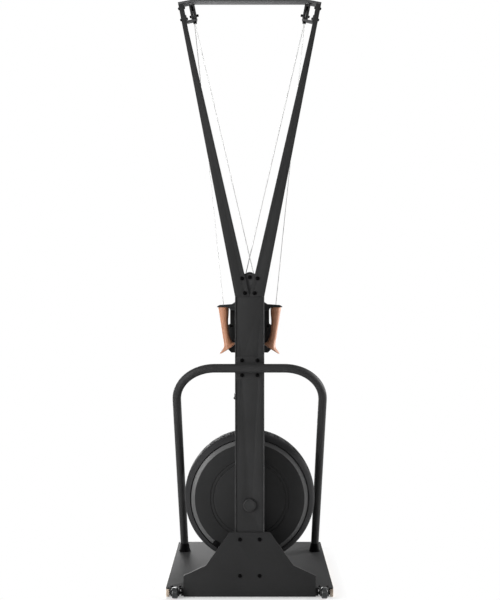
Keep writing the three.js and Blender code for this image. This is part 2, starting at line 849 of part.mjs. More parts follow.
function jointPlate() {
  const plate = block(-jointPlateHalf, jointPlateHalf, plateStart, plateEnd, jointPlateBottom,
    jointPlateTop);
  const pads = armBoltPlaces.map(([x, z]) => rod(
    jointPadRadius, 'y', armWall + seatGap, plateEnd - overrun, [x, 0, z], smallSides));
  const bolts = armBoltPlaces.map(([x, z]) => boltPiece(
    'y', [x, 0, z], -seatGap, plateEnd, boltRadius, boltHeadRadius, boltHeadHeight));
  const pinHole = holeFor(rollerPinRadius, 'y', 0, plateEnd + overrun, [0, 0, rollerHeight], pinSides);
  const fixings = [...pads, ...bolts];
  return cut(join(plate, ...fixings, ...fixings.map(mirrored)), pinHole);
}

const rollerEnd = rollerStart + rollerSpacing + rollerWidth;

const rollerPin = () => boltPiece('y', [0, 0, rollerHeight], plateStart - seatGap, rollerEnd + seatGap,
  rollerPinRadius, boltHeadRadius, boltHeadHeight, pinSides);

function guideRoller(order) {
  const bore = boreFor(rollerPinRadius, runGap, roundSides);
  const half = rollerWidth / 2;
  const floor = rollerFloorWidth / 2;
  const lip = half - rollerLipWidth;
  const middle = rollerStart + half + order * rollerSpacing;
  return turned([
    [bore, -half], [rollerFlangeRadius, -half], [rollerFlangeRadius, -lip], [rollerFloorRadius, -floor],
    [rollerFloorRadius, floor], [rollerFlangeRadius, lip], [rollerFlangeRadius, half], [bore, half],
    [bore, -half]], 'y', [0, middle, rollerHeight], roundSides);
}

// Bolt across an arm's tip, its head outside the arm and its nut at the given face
const endBolt = (w, nutFace) => boltPiece('x', [0, endBoltV, w], armOuterU + seatGap, nutFace,
  armEndBoltRadius, screwHeadRadius, screwHeadHeight);

// Crossbar with its ends bent down over the arms
function crossbar() {
  const kinkTop = barHalfStraight + (barThickness * (1 - leanCos)) / leanSin;
  const endUnder = headPoint(armOuterU, 0, sheaveDrop);
  const endTop = headPoint(armOuterU, 0, sheaveDrop + barThickness);
  const outline = shapeOf(symmetric([
    [kinkTop, machineHeight], [endTop.x, endTop.z], [endUnder.x, endUnder.z], [barHalfStraight, barUnder]]));
  const strip = slab(outline, 'xz', 0, barDepth);
  const inset = armWall + seatGap;
  const plug = atHead(block(sheaveReach + inset, armOuterU - inset, inset, armTipDepth - inset,
    sheaveDrop - plugLength, sheaveDrop + overrun));
  const pivotHole = atHead(rod(boreFor(pivotRadius, runGap, roundSides), 'z', sheaveDrop - overrun,
    sheaveDrop + barThickness + overrun, [0, swivelSetback, 0], roundSides));
  const bolt = atHead(endBolt(upperEndBoltRise, sheaveReach - seatGap));
  return cut(join(strip, plug, mirrored(plug), bolt, mirrored(bolt)), pivotHole, mirrored(pivotHole));
}

// Pulley heads
function lowerBracket() {
  const root = sheaveReach - seatGap;
  const shape = new THREE.Shape();
  shape.moveTo(root, bracketInset);
  shape.lineTo(root, bracketDepth);
  shape.lineTo(0, swivelSetback + bracketTipRadius);
  shape.absarc(0, swivelSetback, bracketTipRadius, Math.PI / 2, (3 * Math.PI) / 2, false);
  const under = -bracketDrop - bracketThickness;
  const plate = slab(shape, 'xy', under, -bracketDrop, holeSides);
  const tab = block(root - bracketTabThickness, root, bracketInset, bracketDepth, under,
    bracketTabHeight - bracketDrop);
  const pinHole = rod(boreFor(hollowPinRadius, runGap, roundSides), 'z', under - overrun,
    overrun - bracketDrop, [0, swivelSetback, 0], roundSides);
  return atHead(cut(join(plate, tab, endBolt(-lowerEndBoltDrop, root - bracketTabThickness)), pinHole));
}

const yokeInner = sheaveWidth / 2 + cheekGap;
const yokeOuter = yokeInner + cheekThickness;

function yoke() {
  const side = new THREE.Shape();
  side.moveTo(cheekBackEdge, -cheekFoot);
  side.lineTo(yokeFootFront, -cheekFoot);
  const [arcStart, arcEnd] = cheekArcDegrees.map(THREE.MathUtils.degToRad);
  side.absarc(sheaveV, 0, cheekRadius, arcStart, arcEnd, false);
  side.lineTo(cheekTopFront, cheekTop);
  side.lineTo(cheekBackEdge, cheekTop);
  const cheeks = [-yokeOuter, yokeInner].map((from) => slab(side, 'yz', from, from + cheekThickness, 6));
  const web = block(-yokeOuter, yokeOuter, cheekBackEdge, cheekTopFront, cheekTop - yokeWebThickness,
    cheekTop);
  const hood = block(-yokeOuter, yokeOuter, cheekTopFront - yokeWebThickness, cheekTopFront,
    yokeHoodFoot, cheekTop);
  const foot = block(-yokeOuter, yokeOuter, cheekBackEdge, yokeFootFront, -cheekFoot,
    yokeFootThickness - cheekFoot);
  const lips = [-yokeOuter, yokeSlotHalf].map((from) => block(from, from + yokeOuter - yokeSlotHalf,
    cheekBackEdge, cheekBackEdge + yokeLipThickness, -cheekFoot, cheekTop));
  const centre = [0, swivelSetback, 0];
  const pivot = turned([
    [0, cheekTop - seatGap], [pivotShoulderRadius, cheekTop - seatGap],
    [pivotShoulderRadius, armTopW], [pivotRadius, armTopW],
    [pivotRadius, sheaveDrop + barThickness - seatGap], [0, sheaveDrop + barThickness - seatGap]],
  'z', centre, smallSides);
  const shoulder = -bracketDrop + seatGap;
  const headFace = -bracketDrop - bracketThickness - seatGap;
  const hollowPin = turned([
    [0, seatGap - cheekFoot], [hollowShoulderRadius, seatGap - cheekFoot],
    [hollowShoulderRadius, shoulder], [hollowPinRadius, shoulder], [hollowPinRadius, headFace],
    [hollowHeadRadius, headFace], [hollowHeadRadius, headFace - hollowHeadLength],
    [0, headFace - hollowHeadLength]], 'z', centre, smallSides);
  const bore = rod(hollowPinBore, 'z', headFace - hollowHeadLength - overrun,
    yokeFootThickness - cheekFoot + overrun, centre, smallSides);
  const boltHole = holeFor(sheaveBoltRadius, 'x', -yokeOuter - overrun, yokeOuter + overrun,
    [0, sheaveV, 0], pinSides);
  return atHead(cut(join(...cheeks, web, hood, foot, ...lips, pivot, hollowPin), bore, boltHole));
}

const sheaveBolt = () => atHead(boltPiece('x', [0, sheaveV, 0], -yokeOuter - seatGap,
  yokeOuter + seatGap, sheaveBoltRadius, sheaveBoltHeadRadius, sheaveBoltHeadHeight, pinSides));

function sheave() {
  const bore = boreFor(sheaveBoltRadius, runGap, roundSides);
  const half = sheaveWidth / 2;
  const floor = sheaveFloorWidth / 2;
  const lip = half - sheaveLipWidth;
  return atHead(turned([
    [bore, -half], [sheaveFlangeRadius, -half], [sheaveFlangeRadius, -lip], [sheaveFloorRadius, -floor],
    [sheaveFloorRadius, floor], [sheaveFlangeRadius, lip], [sheaveFlangeRadius, half], [bore, half],
    [bore, -half]], 'x', [0, sheaveV, 0], roundSides));
}

// Cords
function sheaveCord() {
  const points = Array.from({ length: arcSteps + 1 }, (_, k) => {
    const turn = (Math.PI * k) / arcSteps;
    const reach = sheavePitchRadius / (k % arcSteps ? Math.cos(Math.PI / arcSteps / 2) : 1);
    return headPoint(0, sheaveV - reach * Math.cos(turn), seatGap + reach * Math.sin(turn));
  });
  return cordAlong(points, cordRadius);
}

const exitPoint = headPoint(0, cordExitV, 0);
const handleTopPoint = vector(handleTopHalf, handleSetback, handleTop);
const handleUp = exitPoint.clone().sub(handleTopPoint).normalize();

const handleCord = () => cordAlong([
  handleTopPoint.clone().addScaledVector(handleUp, seatGap),
  exitPoint.clone().addScaledVector(handleUp, -seatGap)], cordRadius);

// Points on a circle about an axis parallel to Y, just outside the true circle so that chords clear it
function windingPoints(centre, radius, fromTurn, toTurn, fromY, toY) {
  const steps = Math.max(2, Math.ceil(Math.abs(toTurn - fromTurn) * arcSteps));
  const reach = radius / Math.cos((Math.PI * (toTurn - fromTurn)) / steps);
  return Array.from({ length: steps + 1 }, (_, k) => {
    const share = k / steps;
    const turn = 2 * Math.PI * (fromTurn + (toTurn - fromTurn) * share);
    return vector(centre.x + reach * Math.cos(turn), fromY + (toY - fromY) * share,
      centre.z + reach * Math.sin(turn));
  });
}

const asTurn = (radians) => radians / (2 * Math.PI);

// The driven cord of one side: down the swivel axis, past its roller, down to its drum and round it.
// The left cord passes its roller and its drum on their right, and the right cord crosses over.
function driveCord(side) {
  const order = side < 0 ? 0 : 1;
  const flip = (point) => vector(side * point.x, point.y, point.z);
  const sheaveEnd = flip(headPoint(0, swivelSetback, -seatGap));
  const bracketEnd = flip(headPoint(0, swivelSetback,
    -bracketDrop - bracketThickness - hollowHeadLength - overrun));
  const roller = { x: 0, z: rollerHeight };
  const rollerY = rollerStart + rollerWidth / 2 + order * rollerSpacing;
  const rollerPitch = rollerFloorRadius + seatGap + cordRadius;
  const drumPitch = drumFloorRadius + seatGap + cordRadius;
  const rise = bracketEnd.z - rollerHeight;
  const run = Math.hypot(bracketEnd.x, rise);
  const fromAbove = Math.atan2(rise, bracketEnd.x) + side * Math.acos(rollerPitch / run);
  const apart = rollerHeight - axleHeight;
  const towardsDrum = Math.asin((drumPitch + side * rollerPitch) / apart);
  const first = asTurn(fromAbove);
  const last = asTurn(towardsDrum) + (side < 0 ? 0 : 1 / 2);
  const overRoller = windingPoints(roller, rollerPitch, first, last, rollerY, rollerY);
  const laneY = drumStart + order * drumSpacing + driveLane;
  const drum = { x: 0, z: axleHeight };
  const onDrum = asTurn(towardsDrum);
  const round = windingPoints(drum, drumPitch, onDrum, onDrum - driveTurns, laneY,
    laneY - lanePitch * driveTurns);
  return cordAlong([sheaveEnd, bracketEnd, ...overRoller, ...round], cordRadius);
}

function returnCord(order) {
  const laneY = drumStart + order * drumSpacing + returnLane;
  const drumPitch = drumFloorRadius + seatGap + returnCordRadius;
  const round = windingPoints({ x: 0, z: axleHeight }, drumPitch, 1, 0.5, laneY, laneY);
  const postPitch = postRadius + seatGap + returnCordRadius;
  const x = order === 0 ? -leftReturnOffset : -rightReturnOffset;
  const over = Array.from({ length: arcSteps / 2 + 1 }, (_, k) => {
    const turn = (Math.PI * k * 2) / arcSteps;
    return vector(x, postSetback - postPitch * Math.cos(turn), postHeight + postPitch * Math.sin(turn));
  });
  const tail = vector(x, postSetback + postPitch, hookHeight + postRadius + seatGap);
  return cordAlong([...round, ...over, tail], returnCordRadius);
}

function returnPost(setback, height) {
  const reach = columnHalf - columnWall - seatGap;
  return rod(postRadius, 'x', -reach, reach, [0, setback, height], ovalSides);
}

// Axle group
const axleShaft = () => rod(axleRadius, 'y', axleRearEnd, axleFrontEnd, axlePlace, roundSides);

function axleBearing(from) {
  const bore = boreFor(axleRadius, runGap, roundSides);
  const to = from + bearingWidth;
  return turned(ringProfile(bore, bearingRadius, from, to), 'y', axlePlace, roundSides);
}

function drum(order) {
  const bore = boreFor(axleRadius, runGap, roundSides);
  const from = drumStart + order * drumSpacing;
  const to = from + drumWidth;
  const flange = drumFlangeThickness;
  return turned([
    [bore, from], [drumFlangeRadius, from], [drumFlangeRadius, from + flange],
    [drumFloorRadius, from + flange], [drumFloorRadius, to - flange], [drumFlangeRadius, to - flange],
    [drumFlangeRadius, to], [bore, to], [bore, from]], 'y', axlePlace, roundSides);
}

// Flywheel housing
const housingEnd = housingStart + housingWidth;
const aroundAxle = (geometry, turn) => geometry.clone().translate(0, 0, -axleHeight)
  .rotateY(-turn).translate(0, 0, axleHeight);

// The outer band shared by both halves, from the edge near the face to the seam
function bandPoints(wall) {
  return [
    [housingRadius - bandShoulderDrop - wall, bandShoulderSetback + wall],
    [housingRadius - bandCurveDrop - wall, bandCurveSetback],
    [housingRadius - wall, (housingWidth - shellSeam) / 2]];
}

function bandVents() {
  const width = ((2 * Math.PI * housingRadius) / ventCount) * ventShare;
  const inner = housingRadius - bandShoulderDrop - 2 * housingWall;
  const vent = block(inner, housingRadius + overrun, ventStart, ventStart + ventLength,
    axleHeight - width / 2, axleHeight + width / 2);
  return gathered(Array.from({ length: ventCount }, (_, k) => aroundAxle(
    vent, (2 * Math.PI * (k + 1 / 2)) / ventCount)));
}

function caseBosses(from, to, radius) {
  return gathered(Array.from({ length: caseBossCount }, (_, k) => {
    const turn = THREE.MathUtils.degToRad(caseBossAngle) + (2 * Math.PI * k) / caseBossCount;
    const place = housingRadius - caseBossInset;
    return rod(radius, 'y', from, to, [place * Math.cos(turn), 0,
      axleHeight + place * Math.sin(turn)], smallSides);
  }));
}

function damperSector(profile, fromDegrees, toDegrees, steps) {
  return loft(Array.from({ length: steps + 1 }, (_, k) => {
    const turn = THREE.MathUtils.degToRad(fromDegrees + ((toDegrees - fromDegrees) * k) / steps);
    return profile.map(([r, y]) => vector(r * Math.cos(turn), y, axleHeight + r * Math.sin(turn)));
  }));
}

const arcDegrees = (length) => THREE.MathUtils.radToDeg(length / damperRadius);
const damperHalfTurn = arcDegrees(damperBlockLength / 2);

// The shells are drawn with their face at zero and then set in place
function housingRear() {
  const grooveOuter = ringOuterRadius + grooveWidth;
  const grooveFloor = ringRise + grooveDepth;
  const outer = [
    [0, 0], [stepInnerRadius, 0], [stepInnerRadius, stepDepth], [stepOuterRadius, stepDepth],
    [stepOuterRadius, 0], [ringInnerRadius, 0], [ringOuterRadius, ringRise], [ringOuterRadius, grooveFloor],
    [grooveOuter, grooveFloor], [grooveOuter, ringRise - ringCrest], ...bandPoints(0)];
  const floor = stepDepth + housingWall;
  const innerFloor = grooveFloor + housingWall;
  const inner = [
    [0, floor], [ringInnerRadius - faceRib, floor], [ringOuterRadius - housingWall, innerFloor],
    [grooveOuter + housingWall, innerFloor], ...bandPoints(housingWall)];
  const shell = turned([...outer, ...inner.reverse()], 'y', axlePlace, housingSides);
  const bossFrom = columnDepth + seatGap - housingStart;
  const boss = rod(housingBossRadius, 'y', bossFrom, frontBossEnd - housingStart, axlePlace, roundSides);
  const seat = rod(boreFor(bearingRadius, seatGap, roundSides), 'y',
    frontBearingStart - seatGap - housingStart, floor + overrun + frontBossEnd, axlePlace, roundSides);
  const hole = rod(webAxleHole, 'y', bossFrom - overrun, overrun, axlePlace, roundSides);
  const slotInner = damperRadius - damperStemWidth / 2;
  const slot = damperSector([
    [slotInner, -overrun], [slotInner + damperStemWidth, -overrun],
    [slotInner + damperStemWidth, innerFloor + overrun], [slotInner, innerFloor + overrun]],
  damperAngleDegrees - damperHalfTurn - arcDegrees(damperGap),
  damperAngleDegrees + damperTravelDegrees + damperHalfTurn + arcDegrees(damperGap), slotSteps);
  const seam = (housingWidth - shellSeam) / 2;
  const bosses = caseBosses(caseBossRoot, seam, caseBossRadius);
  const pilots = caseBosses(grooveFloor, seam + overrun, boreFor(screwRadius, seatGap, smallSides));
  return cut(join(shell, boss, bosses), seat, hole, bandVents(), pilots, slot)
    .translate(0, housingStart, 0);
}

function housingFront() {
  const corner = ringOuterRadius + grooveWidth;
  const outer = [[0, 0], [corner, 0], ...bandPoints(0)];
  const inner = [[0, housingWall], [corner, housingWall], ...bandPoints(housingWall)];
  const shell = turned([...outer, ...inner.reverse()], 'y', axlePlace, housingSides);
  const nose = turned([
    [0, -frontNoseRise], [frontNoseRadius - frontNoseRise, -frontNoseRise], [frontNoseRadius, 0],
    [frontNoseRadius, housingWall], [0, housingWall]], 'y', axlePlace, roundSides);
  const grille = gathered(Array.from({ length: frontSlotCount }, (_, k) => aroundAxle(
    block(frontGrilleInner, housingRadius - frontGrilleMargin, -overrun, housingWall + overrun,
      axleHeight - frontSlotWidth / 2, axleHeight + frontSlotWidth / 2),
    (2 * Math.PI * k) / frontSlotCount)));
  const seam = (housingWidth - shellSeam) / 2;
  const bosses = caseBosses(housingWall / 2, seam, caseBossRadius);
  const shanks = caseBosses(-overrun, caseScrewLength, screwRadius);
  const heads = caseBosses(-screwHeadHeight, overrun, screwHeadRadius);
  const shape = cut(join(shell, nose, bosses, shanks, heads), grille, bandVents());
  return welded(shape.scale(1, -1, 1).translate(0, housingEnd, 0));
}

function damperLever() {
  const inner = damperRadius - damperBlockWidth / 2;
  const outer = damperRadius + damperBlockWidth / 2;
  const slope = ringRise / (ringOuterRadius - ringInnerRadius);
  const seatAt = (r) => housingStart - damperGap + Math.max(0, r - ringInnerRadius - damperGap) * slope;
  const from = damperAngleDegrees - damperHalfTurn;
  const to = damperAngleDegrees + damperHalfTurn;
  const top = housingStart - damperBlockProud;
  const knob = damperSector([
    [inner, top], [outer, top + damperGap], [outer, seatAt(outer)], [ringInnerRadius + damperGap,
      seatAt(inner)], [inner, seatAt(inner)]], from, to, 2);
  const stemHalf = damperStemWidth / 2 - damperGap;
  const footStart = housingStart + damperFootPlace;
  const stemTop = seatAt(inner) - damperGap;
  const stemFoot = footStart + damperGap;
  const stem = damperSector([
    [damperRadius - stemHalf, stemTop], [damperRadius + stemHalf, stemTop],
    [damperRadius + stemHalf, stemFoot], [damperRadius - stemHalf, stemFoot]], from, to, 2);
  const foot = damperSector([
    [damperRadius - damperFootHalf, footStart], [damperRadius + damperFootHalf, footStart],
    [damperRadius + damperFootHalf, footStart + damperFootThickness],
    [damperRadius - damperFootHalf, footStart + damperFootThickness]], from, to, 2);
  return join(knob, stem, foot);
}

function fanWheel() {
  const plate = rod(fanRadius, 'y', fanStart, fanStart + fanPlateThickness, axlePlace, housingSides);
  const hub = rod(fanHubRadius, 'y', fanStart, fanStart + fanWidth, axlePlace, roundSides);
  const ringStart = fanStart + fanWidth - fanPlateThickness;
  const ring = turned(ringProfile(fanRadius - fanRingWidth, fanRadius, ringStart, fanStart + fanWidth),
    'y', axlePlace, housingSides);
  const sweep = THREE.MathUtils.degToRad(fanBladeSweepDegrees);
  const tip = fanRadius - fanBladeThickness;
  const root = new THREE.Vector2(fanBladeInner, 0);
  const end = new THREE.Vector2(tip * Math.cos(sweep), tip * Math.sin(sweep));
  const across = end.clone().sub(root).normalize().multiplyScalar(fanBladeThickness / 2);
  const corners = [[root, 1], [end, 1], [end, -1], [root, -1]].map(
    ([point, way]) => [point.x - way * across.y, axleHeight + point.y + way * across.x]);
  const blade = slab(shapeOf(corners), 'xz', fanStart + fanPlateThickness / 2,
    ringStart + fanPlateThickness / 2);
  const blades = gathered(Array.from({ length: fanBladeCount }, (_, k) => aroundAxle(
    blade, (2 * Math.PI * k) / fanBladeCount)));
  const bore = rod(boreFor(axleRadius, seatGap, roundSides), 'y', fanStart - overrun,
    fanStart + fanWidth + overrun, axlePlace, roundSides);
  return cut(join(plate, hub, ring, blades), bore);
}

// Brace tube
const braceSlope = Math.atan2(braceFootSetback + braceSetback, braceHeight - baseHeight);
const braceReach = (braceHeight - baseHeight) / Math.cos(braceSlope);
const bracePoint = (x, along) => vector(x, along * Math.sin(braceSlope) - braceSetback,
  braceHeight - along * Math.cos(braceSlope));

function braceHalfPath(extra) {
  const bend = Array.from({ length: braceBendSteps + 1 }, (_, k) => {
    const turn = (Math.PI * k) / braceBendSteps / 2;
    return bracePoint(braceLegX - braceBendRadius + braceBendRadius * Math.sin(turn),
      braceBendRadius - braceBendRadius * Math.cos(turn));
  });
  return [...bend, bracePoint(braceLegX, braceReach + extra)];
}

function braceBody(radius, extra) {
  const half = braceHalfPath(extra);
  const path = [...half.slice().reverse(), ...half.map((point) => vector(-point.x, point.y, point.z))];
  return loft(tubeRings(path, radius, braceSides));
}

function braceTube() {
  const extra = 2 * braceRadius;
  const plateHalf = coverHalf - seatGap;
  const plate = block(-plateHalf, plateHalf, -seatGap, bracePlateThickness - seatGap,
    braceHeight - bracePlateHalfHeight, braceHeight + bracePlateHalfHeight);
  const saddle = block(-braceSaddleWidth / 2, braceSaddleWidth / 2, braceRadius - braceSetback - braceWeld,
    0, braceHeight - braceSaddleHalf, braceHeight + braceSaddleHalf);
  const ground = block(-baseWidth, baseWidth, 0, baseWidth + baseDepth, -baseHeight, baseHeight + seatGap);
  const bolts = braceBoltCentres.map((centre) => boltPiece(
    'y', centre, -seatGap, coverBack + seatGap, boltRadius, boltHeadRadius, boltHeadHeight));
  return cut(join(braceBody(braceRadius, extra), plate, saddle, ...bolts),
    braceBody(braceRadius - braceWall, extra + overrun), ground);
}

function braceFoot() {
  const tilt = Math.cos(braceSlope);
  const ringAt = (rise, radius, stretch) => {
    const centre = bracePoint(braceLegX, braceReach - rise / tilt);
    return ovalRing(centre, axes.x.clone().multiplyScalar(radius),
      axes.y.clone().multiplyScalar(radius * stretch), ovalSides);
  };
  const topRadius = braceRadius + seatGap + bootWall;
  const body = loft([
    ringAt(seatGap, bootFootRadius, 1), ringAt(bootHeight * bootWaistShare, bootWaistRadius, 1),
    ringAt(bootHeight, topRadius, 1 / tilt)]);
  const bore = loft(tubeRings([
    bracePoint(braceLegX, braceReach + bootHeight), bracePoint(braceLegX, braceReach - 2 * bootHeight)],
  boreFor(braceRadius, seatGap, braceSides), braceSides));
  return cut(body, bore);
}

// Handles
const handleBasis = (() => {
  const up = handleUp;
  const out = axes.x.clone().addScaledVector(up, -up.x).normalize();
  const back = up.clone().cross(out);
  return new THREE.Matrix4().makeBasis(out, back, up).setPosition(handleTopPoint);
})();

function handle() {
  const section = (drop, outer, inner, halfDepth, tiltDegrees) => {
    const tilt = THREE.MathUtils.degToRad(tiltDegrees);
    return Array.from({ length: ovalSides }, (_, k) => {
      const turn = (2 * Math.PI * k) / ovalSides;
      const reach = Math.cos(turn) * (Math.cos(turn) > 0 ? outer : inner);
      return vector(reach * Math.cos(tilt), halfDepth * Math.sin(turn), -drop - reach * Math.sin(tilt))
        .applyMatrix4(handleBasis);
    });
  };
  const rim = gripRimShares.map((share) => share * gripTopRadius);
  const levelRim = (drop, inset) => section(drop, ...rim.map((reach) => reach - inset), 0).map(
    (point) => point.addScaledVector(handleUp, (handleTop - drop - point.z) / handleUp.z));
  const sections = gripSectionShares.map(([drop, outer, inner, deep, slant]) => section(
    drop * footCentre, outer * gripTopRadius, inner * gripTopRadius, deep * gripTopRadius,
    slant * footTiltDegrees));
  const foot = [footCentre - footThickness, footCentre].map((drop) => section(
    drop, footHalfLength, footHalfLength, footHalfWidth, footTiltDegrees));
  return loft([
    levelRim(0, gripEdge), levelRim(gripEdge, 0), ...sections, ...foot]);
}

// Dock
const dockUnder = handleTop + seatGap;
const consoleBack = columnDepth + seatGap + spineDepth + seatGap;

function dock() {
  const top = dockTopShares.map(([x, rise]) => [x * dockHalfWidth, dockUnder + rise * dockCrown]);
  const under = dockUnderShares.map(([x, drop]) => [x * dockHalfWidth, dockUnder - drop * dockCrown]);
  const crown = [0, dockUnder + dockCrown];
  const wingOutline = shapeOf([crown, ...symmetric([...top, ...under])]);
  const front = handleSetback + dockPlateDepth / 2;
  const wings = slab(wingOutline, 'xz', handleSetback - dockPlateDepth / 2, front);
  const shoulder = top[0];
  const coreBottom = under[2][1];
  const core = slab(shapeOf([crown, shoulder, [shoulder[0], coreBottom], [-shoulder[0], coreBottom],
    [-shoulder[0], shoulder[1]]]), 'xz', columnDepth + seatGap, front);
  const spine = block(-spineHalf, spineHalf, columnDepth + seatGap, consoleBack - seatGap, spineBottom,
    coreBottom + overrun);
  const slot = block(dockSlotStart, 2 * dockSlotStart, handleSetback - dockSlotWidth / 2,
    handleSetback + dockSlotWidth / 2, coreBottom, crown[1]);
  return cut(join(wings, core, spine), slot, mirrored(slot));
}

// Console
const consoleSlant = Math.atan2(consoleBottomDepth - consoleTopDepth, consoleTop - consoleBottom);
const consoleFacePlace = new THREE.Matrix4().makeRotationX(consoleSlant).setPosition(
  0, consoleBack + (consoleTopDepth + consoleBottomDepth) / 2, (consoleTop + consoleBottom) / 2);
const onFace = (geometry) => geometry.applyMatrix4(consoleFacePlace);
const buttonPlaces = [-buttonSpacing, 0, buttonSpacing];

function consoleCase() {
  const front = shapeOf(symmetric([
    [consoleHalfUpper, consoleTop], [consoleHalfUpper, consoleStepHeight],
    [consoleHalfLower, consoleStepHeight - consoleStep],
    [consoleHalfLower, consoleBottom + consoleChamfer], [consoleHalfLower - consoleChamfer, consoleBottom]]));
  const side = shapeOf([
    [consoleBack, consoleTop], [consoleBack, consoleBottom],
    [consoleBack + consoleBottomDepth, consoleBottom], [consoleBack + consoleTopDepth, consoleTop]]);
  const body = common(
    slab(front, 'xz', consoleBack, consoleBack + 2 * consoleBottomDepth),
    slab(side, 'yz', -2 * consoleHalfLower, 2 * consoleHalfLower));
  const pocket = onFace(block(-screenWidth / 2, screenWidth / 2, -screenPocket, overrun,
    screenRise - screenHeight / 2, screenRise + screenHeight / 2));
  const buttonDepth = buttonLength - buttonProud + buttonTravel + seatGap;
  const sockets = buttonPlaces.map((x) => onFace(rod(
    boreFor(buttonRadius, runGap, roundSides), 'y', -buttonDepth, overrun, [x, 0, -buttonDrop],
    roundSides)));
  const screw = screwPiece('y', [consoleScrewHalf, 0, consoleScrewHeight], consoleBack,
    consoleBack + consoleScrewDepth, screwRadius, screwHeadRadius, screwHeadHeight);
  const port = block(portHalf - portWidth / 2, portHalf + portWidth / 2, consoleBack - overrun,
    consoleBack + portDepth, portHeight - portRise / 2, portHeight + portRise / 2);
  return cut(join(body, screw, mirrored(screw)), pocket, ...sockets, port);
}

const consoleScreen = () => onFace(block(
  seatGap - screenWidth / 2, screenWidth / 2 - seatGap, seatGap - screenPocket,
  screenThickness - screenPocket, screenRise - screenHeight / 2 + seatGap,
  screenRise + screenHeight / 2 - seatGap));

const consoleButton = (x) => onFace(turned([
  [0, buttonProud - buttonLength], [buttonRadius, buttonProud - buttonLength],
  [buttonRadius, buttonProud - buttonEdge], [buttonRadius - buttonEdge, buttonProud], [0, buttonProud]],
'y', [x, 0, -buttonDrop], roundSides));

// The whole machine
addPiece('base_plate', basePlate(), deckPaint);
addPiece('base_frame', baseFrame(), blackPaint);
addPiece('left_runner', mirrored(runner()), tanRunner);
addPiece('right_runner', runner(), tanRunner);
addPiece('left_wheel_axle', mirrored(wheelAxle()), blackSteel);
addPiece('right_wheel_axle', wheelAxle(), blackSteel);
addPiece('left_wheel', mirrored(wheel()), darkRubber);
addPiece('right_wheel', wheel(), darkRubber);
addPiece('rear_gusset', rearGusset(), gussetPaint);
addPiece('column', columnShell(), blackPaint);
addPiece('column_cover', columnCover(), blackPaint);
addPiece('axle_cap', axleCap(), blackPlastic);
addPiece('side_clip', sideClip(), brightSteel);
addPiece('left_arm', mirrored(arm()), blackPaint);
addPiece('right_arm', arm(), blackPaint);
addPiece('arm_joint_plate', jointPlate(), barePlate);
addPiece('roller_pin', rollerPin(), blackSteel);
addPiece('left_guide_roller', guideRoller(0), blackPlastic);
addPiece('right_guide_roller', guideRoller(1), blackPlastic);
addPiece('crossbar', crossbar(), barePlate);
addPiece('brace_tube', braceTube(), blackPaint);
addPiece('left_brace_foot', mirrored(braceFoot()), blackPlastic);
addPiece('right_brace_foot', braceFoot(), blackPlastic);
addPiece('housing_rear', housingRear(), housingPlastic);
addPiece('housing_front', housingFront(), housingPlastic);
addPiece('damper_lever', damperLever(), blackPlastic);
addPiece('fan_wheel', fanWheel(), greyRubber);
addPiece('axle', axleShaft(), brightSteel);
addPiece('rear_bearing', axleBearing(rearBearingStart), brightSteel);
addPiece('front_bearing', axleBearing(frontBearingStart), brightSteel);
addPiece('left_drum', drum(0), blackPlastic);
addPiece('right_drum', drum(1), blackPlastic);
addPiece('left_drive_cord', driveCord(-1), greyCord);
addPiece('right_drive_cord', driveCord(1), greyCord);
addPiece('left_return_cord', returnCord(0), blackCord);
addPiece('right_return_cord', returnCord(1), blackCord);
addPiece('upper_return_post', returnPost(postSetback, postHeight), brightSteel);
addPiece('lower_return_post', returnPost(hookSetback, hookHeight), brightSteel);
addPiece('dock', dock(), blackPlastic);
addPiece('console_case', consoleCase(), blackPlastic);
addPiece('console_screen', consoleScreen(), screenGlass);
buttonPlaces.forEach((x, k) => addPiece(`console_button_${k + 1}`, consoleButton(x), greyRubber));

[['left', -1], ['right', 1]].forEach(([label, side]) => {
  addPiece(`${label}_pulley_bracket`, onSide(side, lowerBracket()), blackPaint);
  addPiece(`${label}_yoke`, onSide(side, yoke()), blackPaint);
  addPiece(`${label}_sheave_bolt`, onSide(side, sheaveBolt()), blackSteel);
  addPiece(`${label}_sheave`, onSide(side, sheave()), blackPlastic);
  addPiece(`${label}_sheave_cord`, onSide(side, sheaveCord()), greyCord);
  addPiece(`${label}_handle_cord`, onSide(side, handleCord()), greyCord);
  addPiece(`${label}_handle`, onSide(side, handle()), tanGrip);
});

export default machine;
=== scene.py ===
# %% [markdown]
# # A ski trainer machine, dressed in Blender
# A ski trainer is a tall V of two arms on a column, with a cord and a handle on each side. A pull on
# a handle unwinds its cord from a drum on the flywheel's axle, and a fan in a round housing gives the
# resistance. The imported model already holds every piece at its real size, so this lesson only gives
# the pieces their fine shapes and finishes. All lengths in Blender are metres.

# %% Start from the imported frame
import json
import math
import bmesh
import bpy
from mathutils import Matrix, Vector


